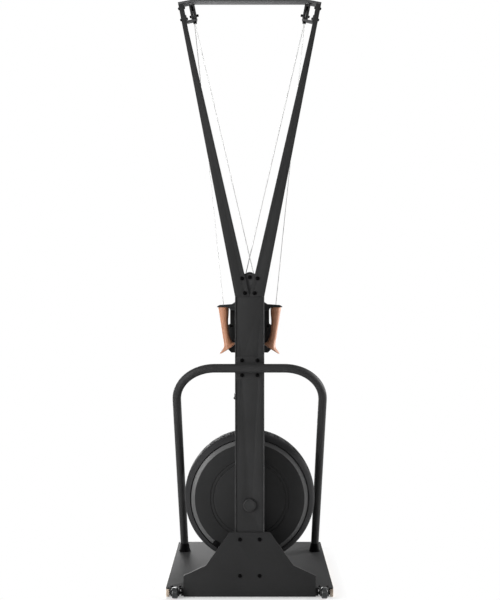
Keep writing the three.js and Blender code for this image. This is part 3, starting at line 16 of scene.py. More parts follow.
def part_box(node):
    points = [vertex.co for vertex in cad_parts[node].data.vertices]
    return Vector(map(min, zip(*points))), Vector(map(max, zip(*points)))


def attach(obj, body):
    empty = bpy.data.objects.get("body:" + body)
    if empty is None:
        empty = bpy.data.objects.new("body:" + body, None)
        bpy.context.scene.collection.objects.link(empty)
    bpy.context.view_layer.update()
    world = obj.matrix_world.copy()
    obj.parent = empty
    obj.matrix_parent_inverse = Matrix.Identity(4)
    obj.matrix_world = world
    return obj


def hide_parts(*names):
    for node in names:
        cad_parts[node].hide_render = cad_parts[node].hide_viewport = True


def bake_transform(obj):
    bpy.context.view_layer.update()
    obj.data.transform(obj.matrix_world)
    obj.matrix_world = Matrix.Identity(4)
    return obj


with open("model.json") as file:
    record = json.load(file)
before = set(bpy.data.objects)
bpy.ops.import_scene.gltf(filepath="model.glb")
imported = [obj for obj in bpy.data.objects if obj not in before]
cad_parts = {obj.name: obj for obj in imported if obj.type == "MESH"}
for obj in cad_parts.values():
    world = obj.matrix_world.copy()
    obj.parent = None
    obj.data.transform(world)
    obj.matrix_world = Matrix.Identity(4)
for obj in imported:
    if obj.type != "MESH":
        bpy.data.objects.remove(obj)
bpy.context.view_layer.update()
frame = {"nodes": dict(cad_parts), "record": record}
mm = 0.001
bodies = frame["record"]["behaviour"]["bodies"]
body_of = {node: body for body, nodes in bodies.items() for node in nodes}

# %% [markdown]
# ## The camera
# The photograph shows the machine's rear, from a level camera a little above the middle of its
# height. Verticals stay upright in it, so the camera looks straight ahead and the picture is moved
# by a small lens shift instead of a tilt. The distance comes from how fast the base plate narrows.

# %% Place the camera
image_width, image_height = 500, 600
horizon_row = 294
centre_column = 249.67
focal_pixels = 899
sensor_size = 36.0
camera_distance = 3.300
camera_height = 1.112
rear_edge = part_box("column")[0].y

camera_data = bpy.data.cameras.new("studio_camera")
camera_data.sensor_width = sensor_size
camera_data.lens = focal_pixels / image_height * sensor_size
camera_data.shift_x = (image_width / 2 - centre_column) / image_height
camera_data.shift_y = (horizon_row - image_height / 2) / image_height
camera = bpy.data.objects.new("studio_camera", camera_data)
camera.location = (0, rear_edge - camera_distance, camera_height)
camera.rotation_euler = (math.radians(90), 0, 0)
bpy.context.scene.collection.objects.link(camera)
bpy.context.scene.camera = camera
print("lens", round(camera_data.lens, 2), "mm, camera at", tuple(round(v, 3) for v in camera.location))

# %% [markdown]
# ## Reading places on the bench
# A maker measures this machine from the column's rear edge, from the floor and from the middle.
# The small function below turns such a place in millimetres into a Blender point, so the numbers in
# this lesson can be checked against the real thing with a tape. The left side mirrors the right.

# %% Measure from the column's rear edge
both_sides = (("left", -1), ("right", 1))
rearwards, forwards, upwards = Vector((0, -1, 0)), Vector((0, 1, 0)), Vector((0, 0, 1))


def bench(x, depth, height):
    return Vector((x * mm, rear_edge + depth * mm, height * mm))


def mirrored(point, side):
    return Vector((side * point.x, point.y, point.z))


# %% [markdown]
# ## From a mesh to a piece of the machine
# Every mesh in this lesson becomes a piece in the same steps: it is put in the scene, gets its
# finish, hides the imported piece that it stands for, and rides on the body that carries it. Two
# functions hold these steps, so that no piece misses one.

# %% Add and fit a piece
def added(mesh, finish, node=None):
    piece = bpy.data.objects.new(mesh.name, mesh)
    bpy.context.scene.collection.objects.link(piece)
    mesh.materials.append(finish)
    if node:
        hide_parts(node)
    return piece


def fitted(mesh, finish, node=None, body=None):
    """Adds a piece that rides on a body: the named one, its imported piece's, or the frame."""
    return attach(added(mesh, finish, node), body or body_of.get(node, "frame"))


# %% [markdown]
# ## Making surfaces from rows of points
# Most pieces here are skins over rows of points: a row goes round the piece, and the rows follow
# each other along it. One function joins such rows into faces. It can close the ends, and it can
# leave out chosen faces, which is how slots are opened in a shell.

# %% Join rows of points into a skin
merge_distance = 1e-6


def skin(name, rows, closed_rows=True, closed_skin=False, caps=False, left_out=None):
    mesh = bpy.data.meshes.new(name)
    count = len(rows[0])
    points = [tuple(point) for row in rows for point in row]
    bands = len(rows) if closed_skin else len(rows) - 1
    steps = count if closed_rows else count - 1
    faces = []
    for band in range(bands):
        near, far = band * count, (band + 1) % len(rows) * count
        for step in range(steps):
            if left_out and left_out(band, step):
                continue
            after = (step + 1) % count
            faces.append((near + step, near + after, far + after, far + step))
    if caps:
        faces.append(tuple(range(count - 1, -1, -1)))
        faces.append(tuple(range(len(points) - count, len(points))))
    mesh.from_pydata(points, [], faces)
    tidy = bmesh.new()
    tidy.from_mesh(mesh)
    bmesh.ops.remove_doubles(tidy, verts=tidy.verts, dist=merge_distance)
    loose = [vert for vert in tidy.verts if not vert.link_faces]
    bmesh.ops.delete(tidy, geom=loose, context="VERTS")
    bmesh.ops.recalc_face_normals(tidy, faces=tidy.faces)
    tidy.to_mesh(mesh)
    tidy.free()
    return mesh


narrow_face = 1.1 * mm


def smoothed(mesh, sharp_degrees=38):
    """Smooth shading, and a note on each face that is narrow enough to be a rounded edge."""
    mesh.polygons.foreach_set("use_smooth", [True] * len(mesh.polygons))
    mesh.set_sharp_from_angle(angle=math.radians(sharp_degrees))
    lengths = [(mesh.vertices[edge.vertices[0]].co - mesh.vertices[edge.vertices[1]].co).length
               for edge in mesh.edges]
    edge_of = [loop.edge_index for loop in mesh.loops]
    edge_wear_and_highlight = [float(face.area < narrow_face * max(lengths[edge_of[i]] for i in face.loop_indices))
            for face in mesh.polygons]
    note = mesh.attributes.get("edge_wear_and_highlight") or mesh.attributes.new("edge_wear_and_highlight", "FLOAT", "FACE")
    note.data.foreach_set("value", edge_wear_and_highlight)
    return mesh


print("a face narrower than", narrow_face / mm, "mm counts as a rounded edge")

# %% [markdown]
# ## Turned pieces
# Pulleys, wheels, caps and bosses are turned on a lathe on the real machine. Here a profile of
# [radius, place] pairs is swept round an axis. Real turned edges are never knife sharp, so the
# profile's corners are first rounded with short arcs that catch the light.

# %% Round the corners of a profile
def eased(profile, radius, steps=3):
    soft = [Vector(profile[0])]
    for before, corner, after in zip(profile, profile[1:], profile[2:]):
        corner = Vector(corner)
        back, ahead = Vector(before) - corner, Vector(after) - corner
        reach = min(radius, back.length * 0.45, ahead.length * 0.45)
        if reach < 1e-4 or back.angle(ahead) > math.radians(170):
            soft.append(corner)
            continue
        start = corner + back.normalized() * reach
        end = corner + ahead.normalized() * reach
        for step in range(steps + 1):
            share = step / steps
            soft.append(start.lerp(corner, share).lerp(corner.lerp(end, share), share))
    soft.append(Vector(profile[-1]))
    return soft


# %% Sweep a profile round an axis
def turned(name, profile, centre, along, sides=96, edge=0.6, closed=False):
    along = Vector(along).normalized()
    first = along.orthogonal().normalized()
    second = along.cross(first)
    soft = eased(profile, edge) if edge else [Vector(p) for p in profile]
    rows = []
    for radius, place in soft:
        radius = max(radius, 0)
        row = []
        for side in range(sides):
            turn = 2 * math.pi * side / sides
            reach = (first * math.cos(turn) + second * math.sin(turn)) * radius
            row.append(centre + (reach + along * place) * mm)
        rows.append(row)
    return smoothed(skin(name, rows, closed_skin=closed))


print("an eased corner has", len(eased([(0, 0), (5, 0), (5, 5)], 1)) - 2, "points")

# %% [markdown]
# ## Tubes and cords
# A bent tube or a cord is a ring of points carried along a path. The ring has to turn with the
# path without twisting, so each new ring keeps as much as it can of the direction of the last one.
# Two attributes are stored on the mesh, the distance along it and the turn round it, because a
# braid follows the cord and not the room.

# %% Carry a ring along a path
def tube(name, path, radius, sides=24, caps=True):
    aim = (path[1] - path[0]).normalized()
    across = aim.orthogonal().normalized()
    rows, along, travelled = [], [], 0.0
    for place, point in enumerate(path):
        before, after = path[max(place - 1, 0)], path[min(place + 1, len(path) - 1)]
        aim = (after - before).normalized()
        across = (across - aim * across.dot(aim)).normalized()
        side = aim.cross(across)
        travelled += (point - before).length
        along.extend([travelled] * sides)
        rows.append([point + (across * math.cos(2 * math.pi * k / sides)
                              + side * math.sin(2 * math.pi * k / sides)) * radius
                     for k in range(sides)])
    mesh = skin(name, rows, caps=caps)
    if len(mesh.vertices) == len(along):
        around = [k % sides / sides for k in range(len(along))]
        for label, values in (("along", along), ("around", around)):
            mesh.attributes.new(label, "FLOAT", "POINT").data.foreach_set("value", values)
    return smoothed(mesh, 50)


def curved(points, spare=8):
    """A smooth path through given points, by Catmull and Rom's rule."""
    ends = [points[0] * 2 - points[1], *points, points[-1] * 2 - points[-2]]
    path = []
    for a, b, c, d in zip(ends, ends[1:], ends[2:], ends[3:]):
        for step in range(spare):
            t = step / spare
            path.append(((b * 2) + (c - a) * t + (a * 2 - b * 5 + c * 4 - d) * t ** 2
                         + (b * 3 - a - c * 3 + d) * t ** 3) / 2)
    return [*path, points[-1]]


print("a curve through 3 places has", len(curved([Vector((k, 0, 0)) for k in range(3)])), "points")

# %% [markdown]
# ## Finishes
# Every finish is a small network of nodes. Noise in the piece's own coordinates makes the colour
# wander a little, and a finer noise lifts the surface. The rounded edges are painted a little
# brighter: partly wear, because a coat wears there first, and partly a painted highlight for the
# light that edges catch. Rounded edges are the narrow faces that were noted above. Nothing depends
# on where the camera stands, so the finish stays put when the machine is seen from another side.

# %% Start a node tree
class Nodes:
    """A node tree in the making, with short ways to add and join nodes."""

    def __init__(self, tree):
        self.tree = tree

    def give(self, socket, value):
        """Joins an output to a socket, or sets a number or a colour on it."""
        if isinstance(value, bpy.types.NodeSocket):
            self.tree.links.new(value, socket)
        else:
            socket.default_value = (*value, 1) if socket.type == "RGBA" else value

    def add(self, kind, **values):
        node = self.tree.nodes.new(kind)
        for name, value in values.items():
            self.give(node.inputs[name], value)
        return node

    def maths(self, operation, *values):
        node = self.add("ShaderNodeMath")
        node.operation = operation
        for socket, value in zip(node.inputs, values):
            self.give(socket, value)
        return node.outputs[0]


# %% Start a finish
class Finish(Nodes):
    """The nodes of one material. They end in the shader that it starts with."""

    def __init__(self, name):
        self.material = bpy.data.materials.new(name)
        self.material.use_nodes = True
        super().__init__(self.material.node_tree)
        self.shader = self.tree.nodes["Principled BSDF"]
        self.place = self.add("ShaderNodeTexCoord").outputs["Object"]

    def coat(self, name, value):
        self.give(self.shader.inputs[name], value)

    def stored(self, name):
        node = self.add("ShaderNodeAttribute")
        node.attribute_name = name
        return node.outputs["Fac"]

    def noise(self, scale, detail=3.0, roughness=0.55, stretch=(1, 1, 1)):
        place = self.add("ShaderNodeMapping", Vector=self.place, Scale=stretch).outputs["Vector"]
        return self.add("ShaderNodeTexNoise", Vector=place, Scale=scale, Detail=detail,
                        Roughness=roughness).outputs["Fac"]

    def spread(self, factor, low=0.0, high=1.0, start=0.35, end=0.65):
        limits = {"From Min": start, "From Max": end, "To Min": low, "To Max": high}
        return self.add("ShaderNodeMapRange", Value=factor, **limits).outputs["Result"]

    def mixed(self, factor, first, second, blend="MIX"):
        node = self.add("ShaderNodeMix")
        node.data_type = "RGBA"
        node.blend_type = blend
        for socket, value in ((0, factor), (6, first), (7, second)):
            self.give(node.inputs[socket], value)
        return node.outputs[2]

    def bumped(self, height, distance, strength=1.0):
        node = self.add("ShaderNodeBump", Strength=strength, Distance=distance, Height=height)
        self.coat("Normal", node.outputs["Normal"])


print("finishes are built on", bpy.app.version_string)


# %% Powder coat, paint and moulded plastic share one recipe
def coated(name, colour, rough, grain, grain_depth, wander=0.1, wear_and_highlight=0.35, metallic=0.0,
           stretch=(1, 1, 1), specular=0.08):
    finish = Finish(name)
    shade, light = (tuple(c * (1 + way * wander) for c in colour) for way in (-1, 1))
    # Rounded edges are lightened towards this colour: partly wear, partly a painted highlight.
    rubbed_and_highlit_colour = tuple(min(1.0, c * 2.2 + 0.03) for c in colour)
    body = finish.mixed(finish.spread(finish.noise(4.0, 3.0)), shade, light)
    specks = finish.spread(finish.noise(grain * 1.7, 2.0, 0.6, stretch), 0.0, 0.5, 0.45, 0.75)
    dusty = finish.mixed(0.35, body, finish.mixed(specks, (0.0, 0.0, 0.0), (1.0, 1.0, 1.0)), "SOFT_LIGHT")
    # Where that lightening goes: the rounded edges, broken up by noise. It is wear and painted highlight
    # together.
    edge_wear_and_highlight = finish.maths("MULTIPLY", finish.stored("edge_wear_and_highlight"),
                        finish.spread(finish.noise(55, 4), 0.4 * wear_and_highlight, wear_and_highlight))
    finish.coat("Base Color", finish.mixed(edge_wear_and_highlight, dusty, rubbed_and_highlit_colour))
    finish.coat("Roughness", finish.spread(finish.noise(grain * 0.5, 3.0, 0.6, stretch),
                                           rough - 0.06, rough + 0.06))
    finish.bumped(finish.noise(grain, 2.0, 0.6, stretch), grain_depth, 0.6)
    finish.coat("Metallic", metallic)
    finish.coat("Specular IOR Level", specular)
    return finish.material


# %% Name the coated finishes
black_frame = coated("black_powder_coat", (0.034, 0.034, 0.0343), 0.5, 1100, 0.00006)
# The column's edges are lightened the most. This is a painted highlight for the bright lines along its flange
# edges, with a little wear.
column_paint = coated("column_powder_coat", (0.034, 0.034, 0.0343), 0.5, 1100, 0.00006, 0.08, 0.9)
gusset_paint = coated("gusset_powder_coat", (0.028, 0.028, 0.0283), 0.55, 1100, 0.00006, 0.08, 0.2)
deck_paint = coated("deck_texture_paint", (0.039, 0.039, 0.0394), 0.66, 700, 0.00012, 0.08,
                    specular=0.03)
joint_paint = coated("joint_plate_paint", (0.04, 0.04, 0.0405), 0.48, 1200, 0.00005)
# A lighter grey. On the crossbar it is partly its own satin paint and partly painted light for the bright
# floor light on its underside.
grey_paint_and_painted_underlight = coated("grey_satin_paint_and_painted_underlight", (0.1, 0.1, 0.1018), 0.5, 1000, 0.00005, 0.08, specular=0.02)
black_plastic = coated("moulded_black_plastic", (0.025, 0.0262, 0.0268), 0.46, 1500, 0.00004, 0.1, 0.15)
rear_shell = coated("housing_shell_plastic", (0.032, 0.032, 0.0323), 0.42, 1300, 0.00004, 0.1, 0.1)
band_plastic = coated("housing_band_plastic", (0.037, 0.037, 0.0378), 0.64, 1300, 0.00004, 0.1, 0.2,
                      specular=0.02)
ring_trim = coated("satin_ring_trim", (0.112, 0.112, 0.112), 0.28, 900, 0.00002, 0.06, 0.1, specular=0.1)
clip_zinc = coated("dark_zinc_clip", (0.12, 0.12, 0.12), 0.4, 1300, 0.00002, 0.08, 0.2)
fan_plastic = coated("fan_wheel_plastic", (0.05, 0.051, 0.052), 0.5, 900, 0.00005)
black_bolt = coated("blackened_bolt_steel", (0.0022, 0.0022, 0.0023), 0.4, 1600, 0.00002, 0.1, 0.05,
                    specular=0.03)
boot_rubber = coated("moulded_boot_rubber", (0.0055, 0.0055, 0.0057), 0.4, 1400, 0.00005, 0.1, 0.1,
                     specular=0.06)
button_rubber = coated("button_rubber", (0.08, 0.08, 0.082), 0.6, 1600, 0.00003, 0.1, 0.1)
bright_steel = coated("turned_bright_steel", (0.55, 0.55, 0.54), 0.28, 600, 0.00002, 0.05, 0.1, 1.0,
                      (1, 12, 1), 0.5)
print("coated finishes:", len(bpy.data.materials))

# %% [markdown]
# ## Soft tan grips, sealed wood edges, tyres, cord and glass
# The handles are a warm tan rubber that is a little darker where hands rub it, and the runners
# under the base show a light wood-like edge. The cord is braided: two sets of strands cross as
# they go round, which the stored along and around values turn into a pattern, with painted shade
# in the hollows between the strands.

# %% Tan grip and runner
def tan_grip_finish():
    finish = Finish("soft_tan_grip")
    body = finish.mixed(finish.spread(finish.noise(30, 5, 0.6)), (0.3, 0.122, 0.059), (0.38, 0.168, 0.087))
    streak = finish.spread(finish.noise(60, 4, 0.6, (1, 1, 0.12)), 0.0, 0.35, 0.5, 0.8)
    finish.coat("Base Color", finish.mixed(streak, body, (0.43, 0.212, 0.117)))
    finish.coat("Roughness", finish.spread(finish.noise(400), 0.42, 0.55))
    finish.bumped(finish.noise(900, 3), 0.00006, 0.7)
    finish.coat("Sheen Weight", 0.15)
    return finish.material


def tan_runner_finish():
    finish = Finish("tan_runner_wood")
    grain = finish.noise(90, 6, 0.65, (1, 0.06, 1))
    finish.coat("Base Color", finish.mixed(finish.spread(grain), (0.3, 0.22, 0.16), (0.56, 0.47, 0.38)))
    finish.coat("Roughness", finish.spread(grain, 0.42, 0.6))
    finish.bumped(grain, 0.0002, 0.6)
    return finish.material


tan_grip, tan_runner = tan_grip_finish(), tan_runner_finish()


# %% Tyre, cord and display glass
def glossy(name, dark, light, blotch, rough, bump):
    """A smooth dark finish. The triples hold the settings of its noises for colour, gloss and bump."""
    finish = Finish(name)
    finish.coat("Base Color", finish.mixed(finish.spread(finish.noise(*blotch)), dark, light))
    scale, least, most = rough
    finish.coat("Roughness", finish.spread(finish.noise(scale), least, most))
    scale, depth, strength = bump
    finish.bumped(finish.noise(scale), depth, strength)
    return finish


def braided(name, dark, light, pitch, strands):
    """Two sets of strands that cross on the cord: waves of along plus and minus around. The hollows between
    them are painted darker, as painted shade.
    """
    finish = Finish(name)
    lift = finish.maths("MULTIPLY", finish.stored("along"), 2 * math.pi / pitch)
    around = finish.stored("around")
    waves = [finish.maths("SINE", finish.maths("MULTIPLY_ADD", around, way * strands * 2 * math.pi, lift))
             for way in (1, -1)]
    # The low places between the strands get the darker colour: painted shade in the hollows.
    height = finish.spread(finish.maths("MAXIMUM", *waves), 0, 1, -0.4, 1)
    finish.coat("Base Color", finish.mixed(height, dark, light))
    finish.coat("Roughness", 0.8)
    finish.bumped(height, 0.0002, 0.8)
    return finish.material


tyre_coat = glossy("grey_glossy_wheel", (0.01, 0.011, 0.0115), (0.022, 0.024, 0.025), (40, 4),
                   (300, 0.14, 0.24), (700, 0.00004, 0.5))
tyre_coat.coat("Coat Weight", 0.1)
tyre_coat.coat("Specular IOR Level", 0.3)
tyre = tyre_coat.material
display_glass = glossy("blank_display_glass", (0.012, 0.016, 0.018), (0.02, 0.026, 0.03), (12, 2),
                       (60, 0.08, 0.16), (500, 0.00001, 0.3)).material
grey_cord = braided("grey_braided_cord", (0.5, 0.5, 0.49), (0.78, 0.78, 0.77), 0.0032, 4)
black_elastic = braided("black_braided_elastic", (0.008, 0.008, 0.008), (0.05, 0.05, 0.05), 0.005, 6)
print("finishes in all:", len(bpy.data.materials))

# %% [markdown]
# ## The cords
# Each side has one long cord. It leaves its drum in the column, goes round a guide roller, up the
# hollow swivel pin of its pulley and over the sheave, and drops to the handle. The machine holds
# it taut all the way, so its route is a list of places on the machine, and nothing hangs free.
# The stretch that hangs between sheave and handle grows when the handle is pulled. Here it is one
# straight mesh from the sheave to the top of the handle, and it rides on no body.

# %% Places on one pulley head
lean = math.radians(11)
head_middle = bench(206.8208, 0, 2141.0698)
swivel_depth = 14
sheave_pitch = 17.8
sheave_depth = swivel_depth + sheave_pitch
cord_radius = 1.5
handle_top = bench(99.2, 128, 1061.7)


def at_head(side, u, depth, w):
    """A place in a pulley head's own leaning frame: u runs outwards, w up along its swivel axis."""
    x = u * math.cos(lean) + w * math.sin(lean)
    z = -u * math.sin(lean) + w * math.cos(lean)
    return mirrored(head_middle + Vector((x, depth, z)) * mm, side)


cord_exit = at_head(1, 0, sheave_depth + sheave_pitch, 0)
cord_rise = cord_exit - handle_top
print("each handle hangs on", round(cord_rise.length, 3), "m of cord")

# %% Cord from sheave to handle, and over the sheave
drop_steps, arc_steps, sheave_gap = 60, 24, 0.3


def cord_skin(name, path, radius=cord_radius):
    return tube(name, path, radius * mm, 16)


for label, side in both_sides:
    top, foot = mirrored(cord_exit, side), mirrored(handle_top, side)
    drop_path = [top.lerp(foot, k / drop_steps) for k in range(drop_steps + 1)]
    drop = added(cord_skin(f"{label}_hanging_cord_braid", drop_path), grey_cord,
                 f"{label}_handle_cord")
    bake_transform(drop)
    turns = [math.pi * k / arc_steps for k in range(arc_steps + 1)]
    arc = [at_head(side, 0, sheave_depth - sheave_pitch * math.cos(turn),
                   sheave_gap + sheave_pitch * math.sin(turn)) for turn in turns]
    fitted(cord_skin(f"{label}_sheave_cord_braid", arc), grey_cord,
           f"{label}_sheave_cord", f"{label}_pulley_head")
print("handle cords and sheave cords are in place")

# %% Windings on a drum or a roller
roller_height, roller_pitch, roller_start, roller_step = 1173.5, 16.8, 19.9, 11
axle_height, drum_start, drum_step = 337, 22, 27
drive_pitch, drive_turns, drive_lane, lane_step = 31.8, 1.25, 10, 4
return_pitch, return_lane = 32.8, 18
axle_centre = bench(0, 0, axle_height)
steps_per_turn = 48


def winding(height, pitch, first, last, depth, end_depth):
    steps = max(2, math.ceil(abs(last - first) * steps_per_turn))
    places = []
    for k in range(steps + 1):
        turn = 2 * math.pi * (first + (last - first) * k / steps)
        places.append(bench(pitch * math.cos(turn), depth + (end_depth - depth) * k / steps,
                            height + pitch * math.sin(turn)))
    return places


# %% Drive cords inside the column and up to the pulleys
pin_bore_top, pin_bore_foot = -0.3, -35


def drive_path(order, side):
    start = at_head(side, 0, swivel_depth, pin_bore_top)
    low = at_head(side, 0, swivel_depth, pin_bore_foot)
    x, rise = low.x / mm, low.z / mm - roller_height
    first = (math.atan2(rise, x) + side * math.acos(roller_pitch / math.hypot(x, rise))) / (2 * math.pi)
    slope = math.asin((drive_pitch + side * roller_pitch) / (roller_height - axle_height)) / (2 * math.pi)
    last = slope + (0 if side < 0 else 1 / 2)
    roller_depth = roller_start + order * roller_step
    drum_depth = drum_start + order * drum_step + drive_lane
    return [start, low,
            *winding(roller_height, roller_pitch, first, last, roller_depth, roller_depth),
            *winding(axle_height, drive_pitch, slope, slope - drive_turns, drum_depth,
                     drum_depth - lane_step * drive_turns)]


def length_of(path):
    return sum((b - a).length for a, b in zip(path, path[1:]))


for order, (label, side) in enumerate(both_sides):
    path = drive_path(order, side)
    fitted(cord_skin(f"{label}_drive_cord_braid", path), grey_cord, f"{label}_drive_cord")
    print(label, "drive cord, pulley to drum:", round(length_of(path), 3), "m")

# %% Elastic return cords
post_depth, post_height, post_pitch, hook_height = 70, 990, 8.8, 96.3
return_offsets = {"left": 33, "right": 18}
elastic_radius, post_steps = 2.5, 12

for order, (label, offset) in enumerate(return_offsets.items()):
    depth = drum_start + order * drum_step + return_lane
    over_post = [bench(-offset, post_depth - post_pitch * math.cos(math.pi * k / post_steps),
                       post_height + post_pitch * math.sin(math.pi * k / post_steps))
                 for k in range(post_steps + 1)]
    path = [*winding(axle_height, return_pitch, 1, 0.5, depth, depth), *over_post,
            bench(-offset, post_depth + post_pitch, hook_height)]
    fitted(cord_skin(f"{label}_return_elastic", path, elastic_radius), black_elastic,
           f"{label}_return_cord")
    print(label, "elastic return cord:", round(length_of(path), 3), "m")

# %% [markdown]
# ## Plates, channels and castings with softened edges
# The flat pieces already have their true outlines, but a bent or cut plate never has razor edges.
# Each is copied, its triangles are merged back into flat faces, and a bevel rounds every corner
# sharper than 40 degrees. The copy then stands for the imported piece.

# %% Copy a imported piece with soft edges
flat_angle, crease_angle = math.radians(0.6), math.radians(40)


def softened(node, finish, width, segments=2, trimmed=None):
    """A copy with soft edges. Faces whose middle passes the trimmed test are left out of it."""
    mesh = frame["nodes"][node].data.copy()
    mesh.name = f"{node}_soft"
    work = bmesh.new()
    work.from_mesh(mesh)
    bmesh.ops.remove_doubles(work, verts=work.verts, dist=merge_distance)
    bmesh.ops.dissolve_limit(work, angle_limit=flat_angle, verts=work.verts, edges=work.edges)
    if trimmed:
        gone = [face for face in work.faces if trimmed(face.calc_center_median())]
        bmesh.ops.delete(work, geom=gone, context="FACES")
    sharp = [edge for edge in work.edges if edge.is_manifold and edge.calc_face_angle() > crease_angle]
    bmesh.ops.bevel(work, geom=sharp, offset=width * mm, segments=segments, profile=0.5,
                    affect="EDGES", clamp_overlap=True)
    work.to_mesh(mesh)
    work.free()
    mesh.materials.clear()
    return fitted(smoothed(mesh, 40), finish, node)


def behind(depth):
    """True for a place nearer the rear than the given depth."""
    return lambda point: point.y < rear_edge + (depth - 0.05) * mm


# %% [markdown]
# Bolts are black button heads with a hexagon socket in the photograph. They sit where the packed
# plates have their holes: a list gives the places, and one function makes the heads.

# %% A button head with a hexagon socket
def hexagon_reach(turn, flat):
    return flat / math.cos((turn + math.pi / 6) % (math.pi / 3) - math.pi / 6)


def button_head(bundle, centre, way, radius, height, sides=24):
    """Adds one domed head to the bundle of points and faces, seated at centre and rising along way."""
    way = Vector(way).normalized()
    first = way.orthogonal().normalized()
    second = way.cross(first)
    dome = [(1.0, -0.1), (1.0, 0.25), (0.94, 0.5), (0.8, 0.76), (0.62, 0.93), (0.5, 1.0)]
    socket = 0.42 * radius
    rows = [([radius * share] * sides, height * rise) for share, rise in dome]
    hexed = [hexagon_reach(2 * math.pi * k / sides, socket * math.cos(math.pi / 6)) for k in range(sides)]
    rows += [(hexed, height), (hexed, height * 0.45), ([0.001] * sides, height * 0.4)]
    start = len(bundle["points"])
    for reaches, rise in rows:
        for k, reach in enumerate(reaches):
            turn = 2 * math.pi * k / sides
            bundle["points"].append(tuple(
                centre + (way * rise + (first * math.cos(turn) + second * math.sin(turn)) * reach) * mm))
    for row in range(len(rows) - 1):
        for k in range(sides):
            near, far = start + row * sides, start + (row + 1) * sides
            after = (k + 1) % sides
            bundle["faces"].append((near + k, near + after, far + after, far + k))


def heads(name, places, radius=7.3, height=4.6):
    bundle = {"points": [], "faces": []}
    for centre, way in places:
        button_head(bundle, centre, way, radius, height)
    mesh = bpy.data.meshes.new(name)
    mesh.from_pydata(bundle["points"], [], bundle["faces"])
    return fitted(smoothed(mesh, 45), black_bolt)


# %% Bolts across the arm tips
end_bolt_depth, end_bolt_reach = 20, 5.2
arm_outer_face, bar_inner_face, bracket_inner_face = 48.3, 29.7, 26.7
bar_bolt_height, bracket_bolt_height = 34, -8


def in_head(point):
    """A place as u, depth and w of the pulley head on its own side, in millimetres."""
    x, z = abs(point.x) - head_middle.x, point.z - head_middle.z
    return (Vector((x * math.cos(lean) - z * math.sin(lean), point.y - rear_edge,
                    x * math.sin(lean) + z * math.cos(lean))) / mm)


def on_end_bolt(w, inner_face):
    """True for a face of the bolt at height w: outside the arm, or inside the given face."""
    def test(point):
        place = in_head(point)
        near = math.hypot(place.y - end_bolt_depth, place.z - w) < end_bolt_reach
        return near and (place.x > arm_outer_face + 0.05 or place.x < inner_face - 0.05)
    return test


# %% The plates and beams
deck_height, gusset_face, joint_face, pin_face, clip_face = 34, -6.3, -0.3, 6, -56.6
bar_bend = 29.2

softened("base_plate", deck_paint, 1.2, 3, lambda point: point.z > (deck_height + 0.1) * mm)
softened("base_frame", black_frame, 0.6)
softened("rear_gusset", gusset_paint, 0.9, 3, behind(gusset_face))
softened("column", column_paint, 1.4, 3)
softened("column_cover", black_frame, 0.5)
softened("arm_joint_plate", joint_paint, 0.7, 2, behind(joint_face))
bar = softened("crossbar", grey_paint_and_painted_underlight, 1.0, 3, on_end_bolt(bar_bolt_height, bar_inner_face))
# The crossbar's bent-down ends take the black frame paint as painted shade, for the shadow of the arms on
# them.
bar.data.materials.append(black_frame)
for face in bar.data.polygons:
    face.material_index = int(in_head(face.center).x > bar_bend)
softened("dock", black_plastic, 2.0, 3)
softened("side_clip", clip_zinc, 0.3, 2, lambda point: point.x < (clip_face - 0.05) * mm)
for label, _ in both_sides:
    softened(f"{label}_arm", black_frame, 1.2, 3)
    # The pulley brackets take the lighter grey as painted light, standing for the floor's light on their
    # undersides.
    softened(f"{label}_pulley_bracket", grey_paint_and_painted_underlight, 0.5, 2,
             on_end_bolt(bracket_bolt_height, bracket_inner_face))
    softened(f"{label}_yoke", black_frame, 0.5)
    softened(f"{label}_wheel_axle", black_bolt, 0.3)
    softened(f"{label}_runner", tan_runner, 0.5)
softened("roller_pin", black_bolt, 0.4, 2, behind(pin_face))

# %% [markdown]
# ## The console
# The console's plastic case has larger, softer edges than the metal plates. Its back, seen in the
# photograph, has a screw near each side. The display stays blank.

# %% Case, display and buttons
console_face = 168
softened("console_case", black_plastic, 1.6, 3, behind(console_face))
softened("console_screen", display_glass, 0.3)
for number in (1, 2, 3):
    softened(f"console_button_{number}", button_rubber, 0.6, 3)


# %% Bolt heads on the plates
def pairs(depth, *places):
    """Rear-facing bolt places in mirrored pairs, from (x, height) on the right."""
    return [(bench(side * x, depth, height), rearwards) for _, side in both_sides for x, height in places]


small = (5, 2.6)
heads("gusset_bolt_heads", pairs(gusset_face, (36, 212.7), (36, 79.4)))
heads("arm_bolt_heads", pairs(joint_face, (28.6, 1169), (17.6, 1115)))
heads("brace_bolt_heads", pairs(joint_face, (28.4, 868.5), (28.4, 813.5)))
heads("centre_bolt_head", [(bench(0, pin_face, roller_height), rearwards)])
heads("deck_screw_heads", [
    (bench(side * x, 16, deck_height), upwards) for _, side in both_sides for x in (287.5, 257)], *small)
heads("console_screw_heads", pairs(console_face, (71.5, 988)), *small)
heads("clip_screw_head", [(bench(clip_face, 10, 729), (-1, 0, 0))], 4.2, 2.6)
print("plate bolts are on")

# %% Heads and nuts across the arm tips
end_bolts = []
for _, side in both_sides:
    out = Vector((side * math.cos(lean), 0, -math.sin(lean)))
    for w, inner_face in ((bar_bolt_height, bar_inner_face), (bracket_bolt_height, bracket_inner_face)):
        end_bolts += [(at_head(side, arm_outer_face, end_bolt_depth, w), out),
                      (at_head(side, inner_face, end_bolt_depth, w), -out)]
heads("arm_tip_bolt_heads", end_bolts, 5, 4)
print("arm tip bolts:", len(end_bolts))

# %% [markdown]
# ## The brace tube
# One steel tube is bent into a U: across the column it is level, and its legs slope forward to the
# base. It goes in front of the column in one unbroken sweep. A fine tube is laid along the same
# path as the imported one, with a plate and a saddle behind it in the column's recess.

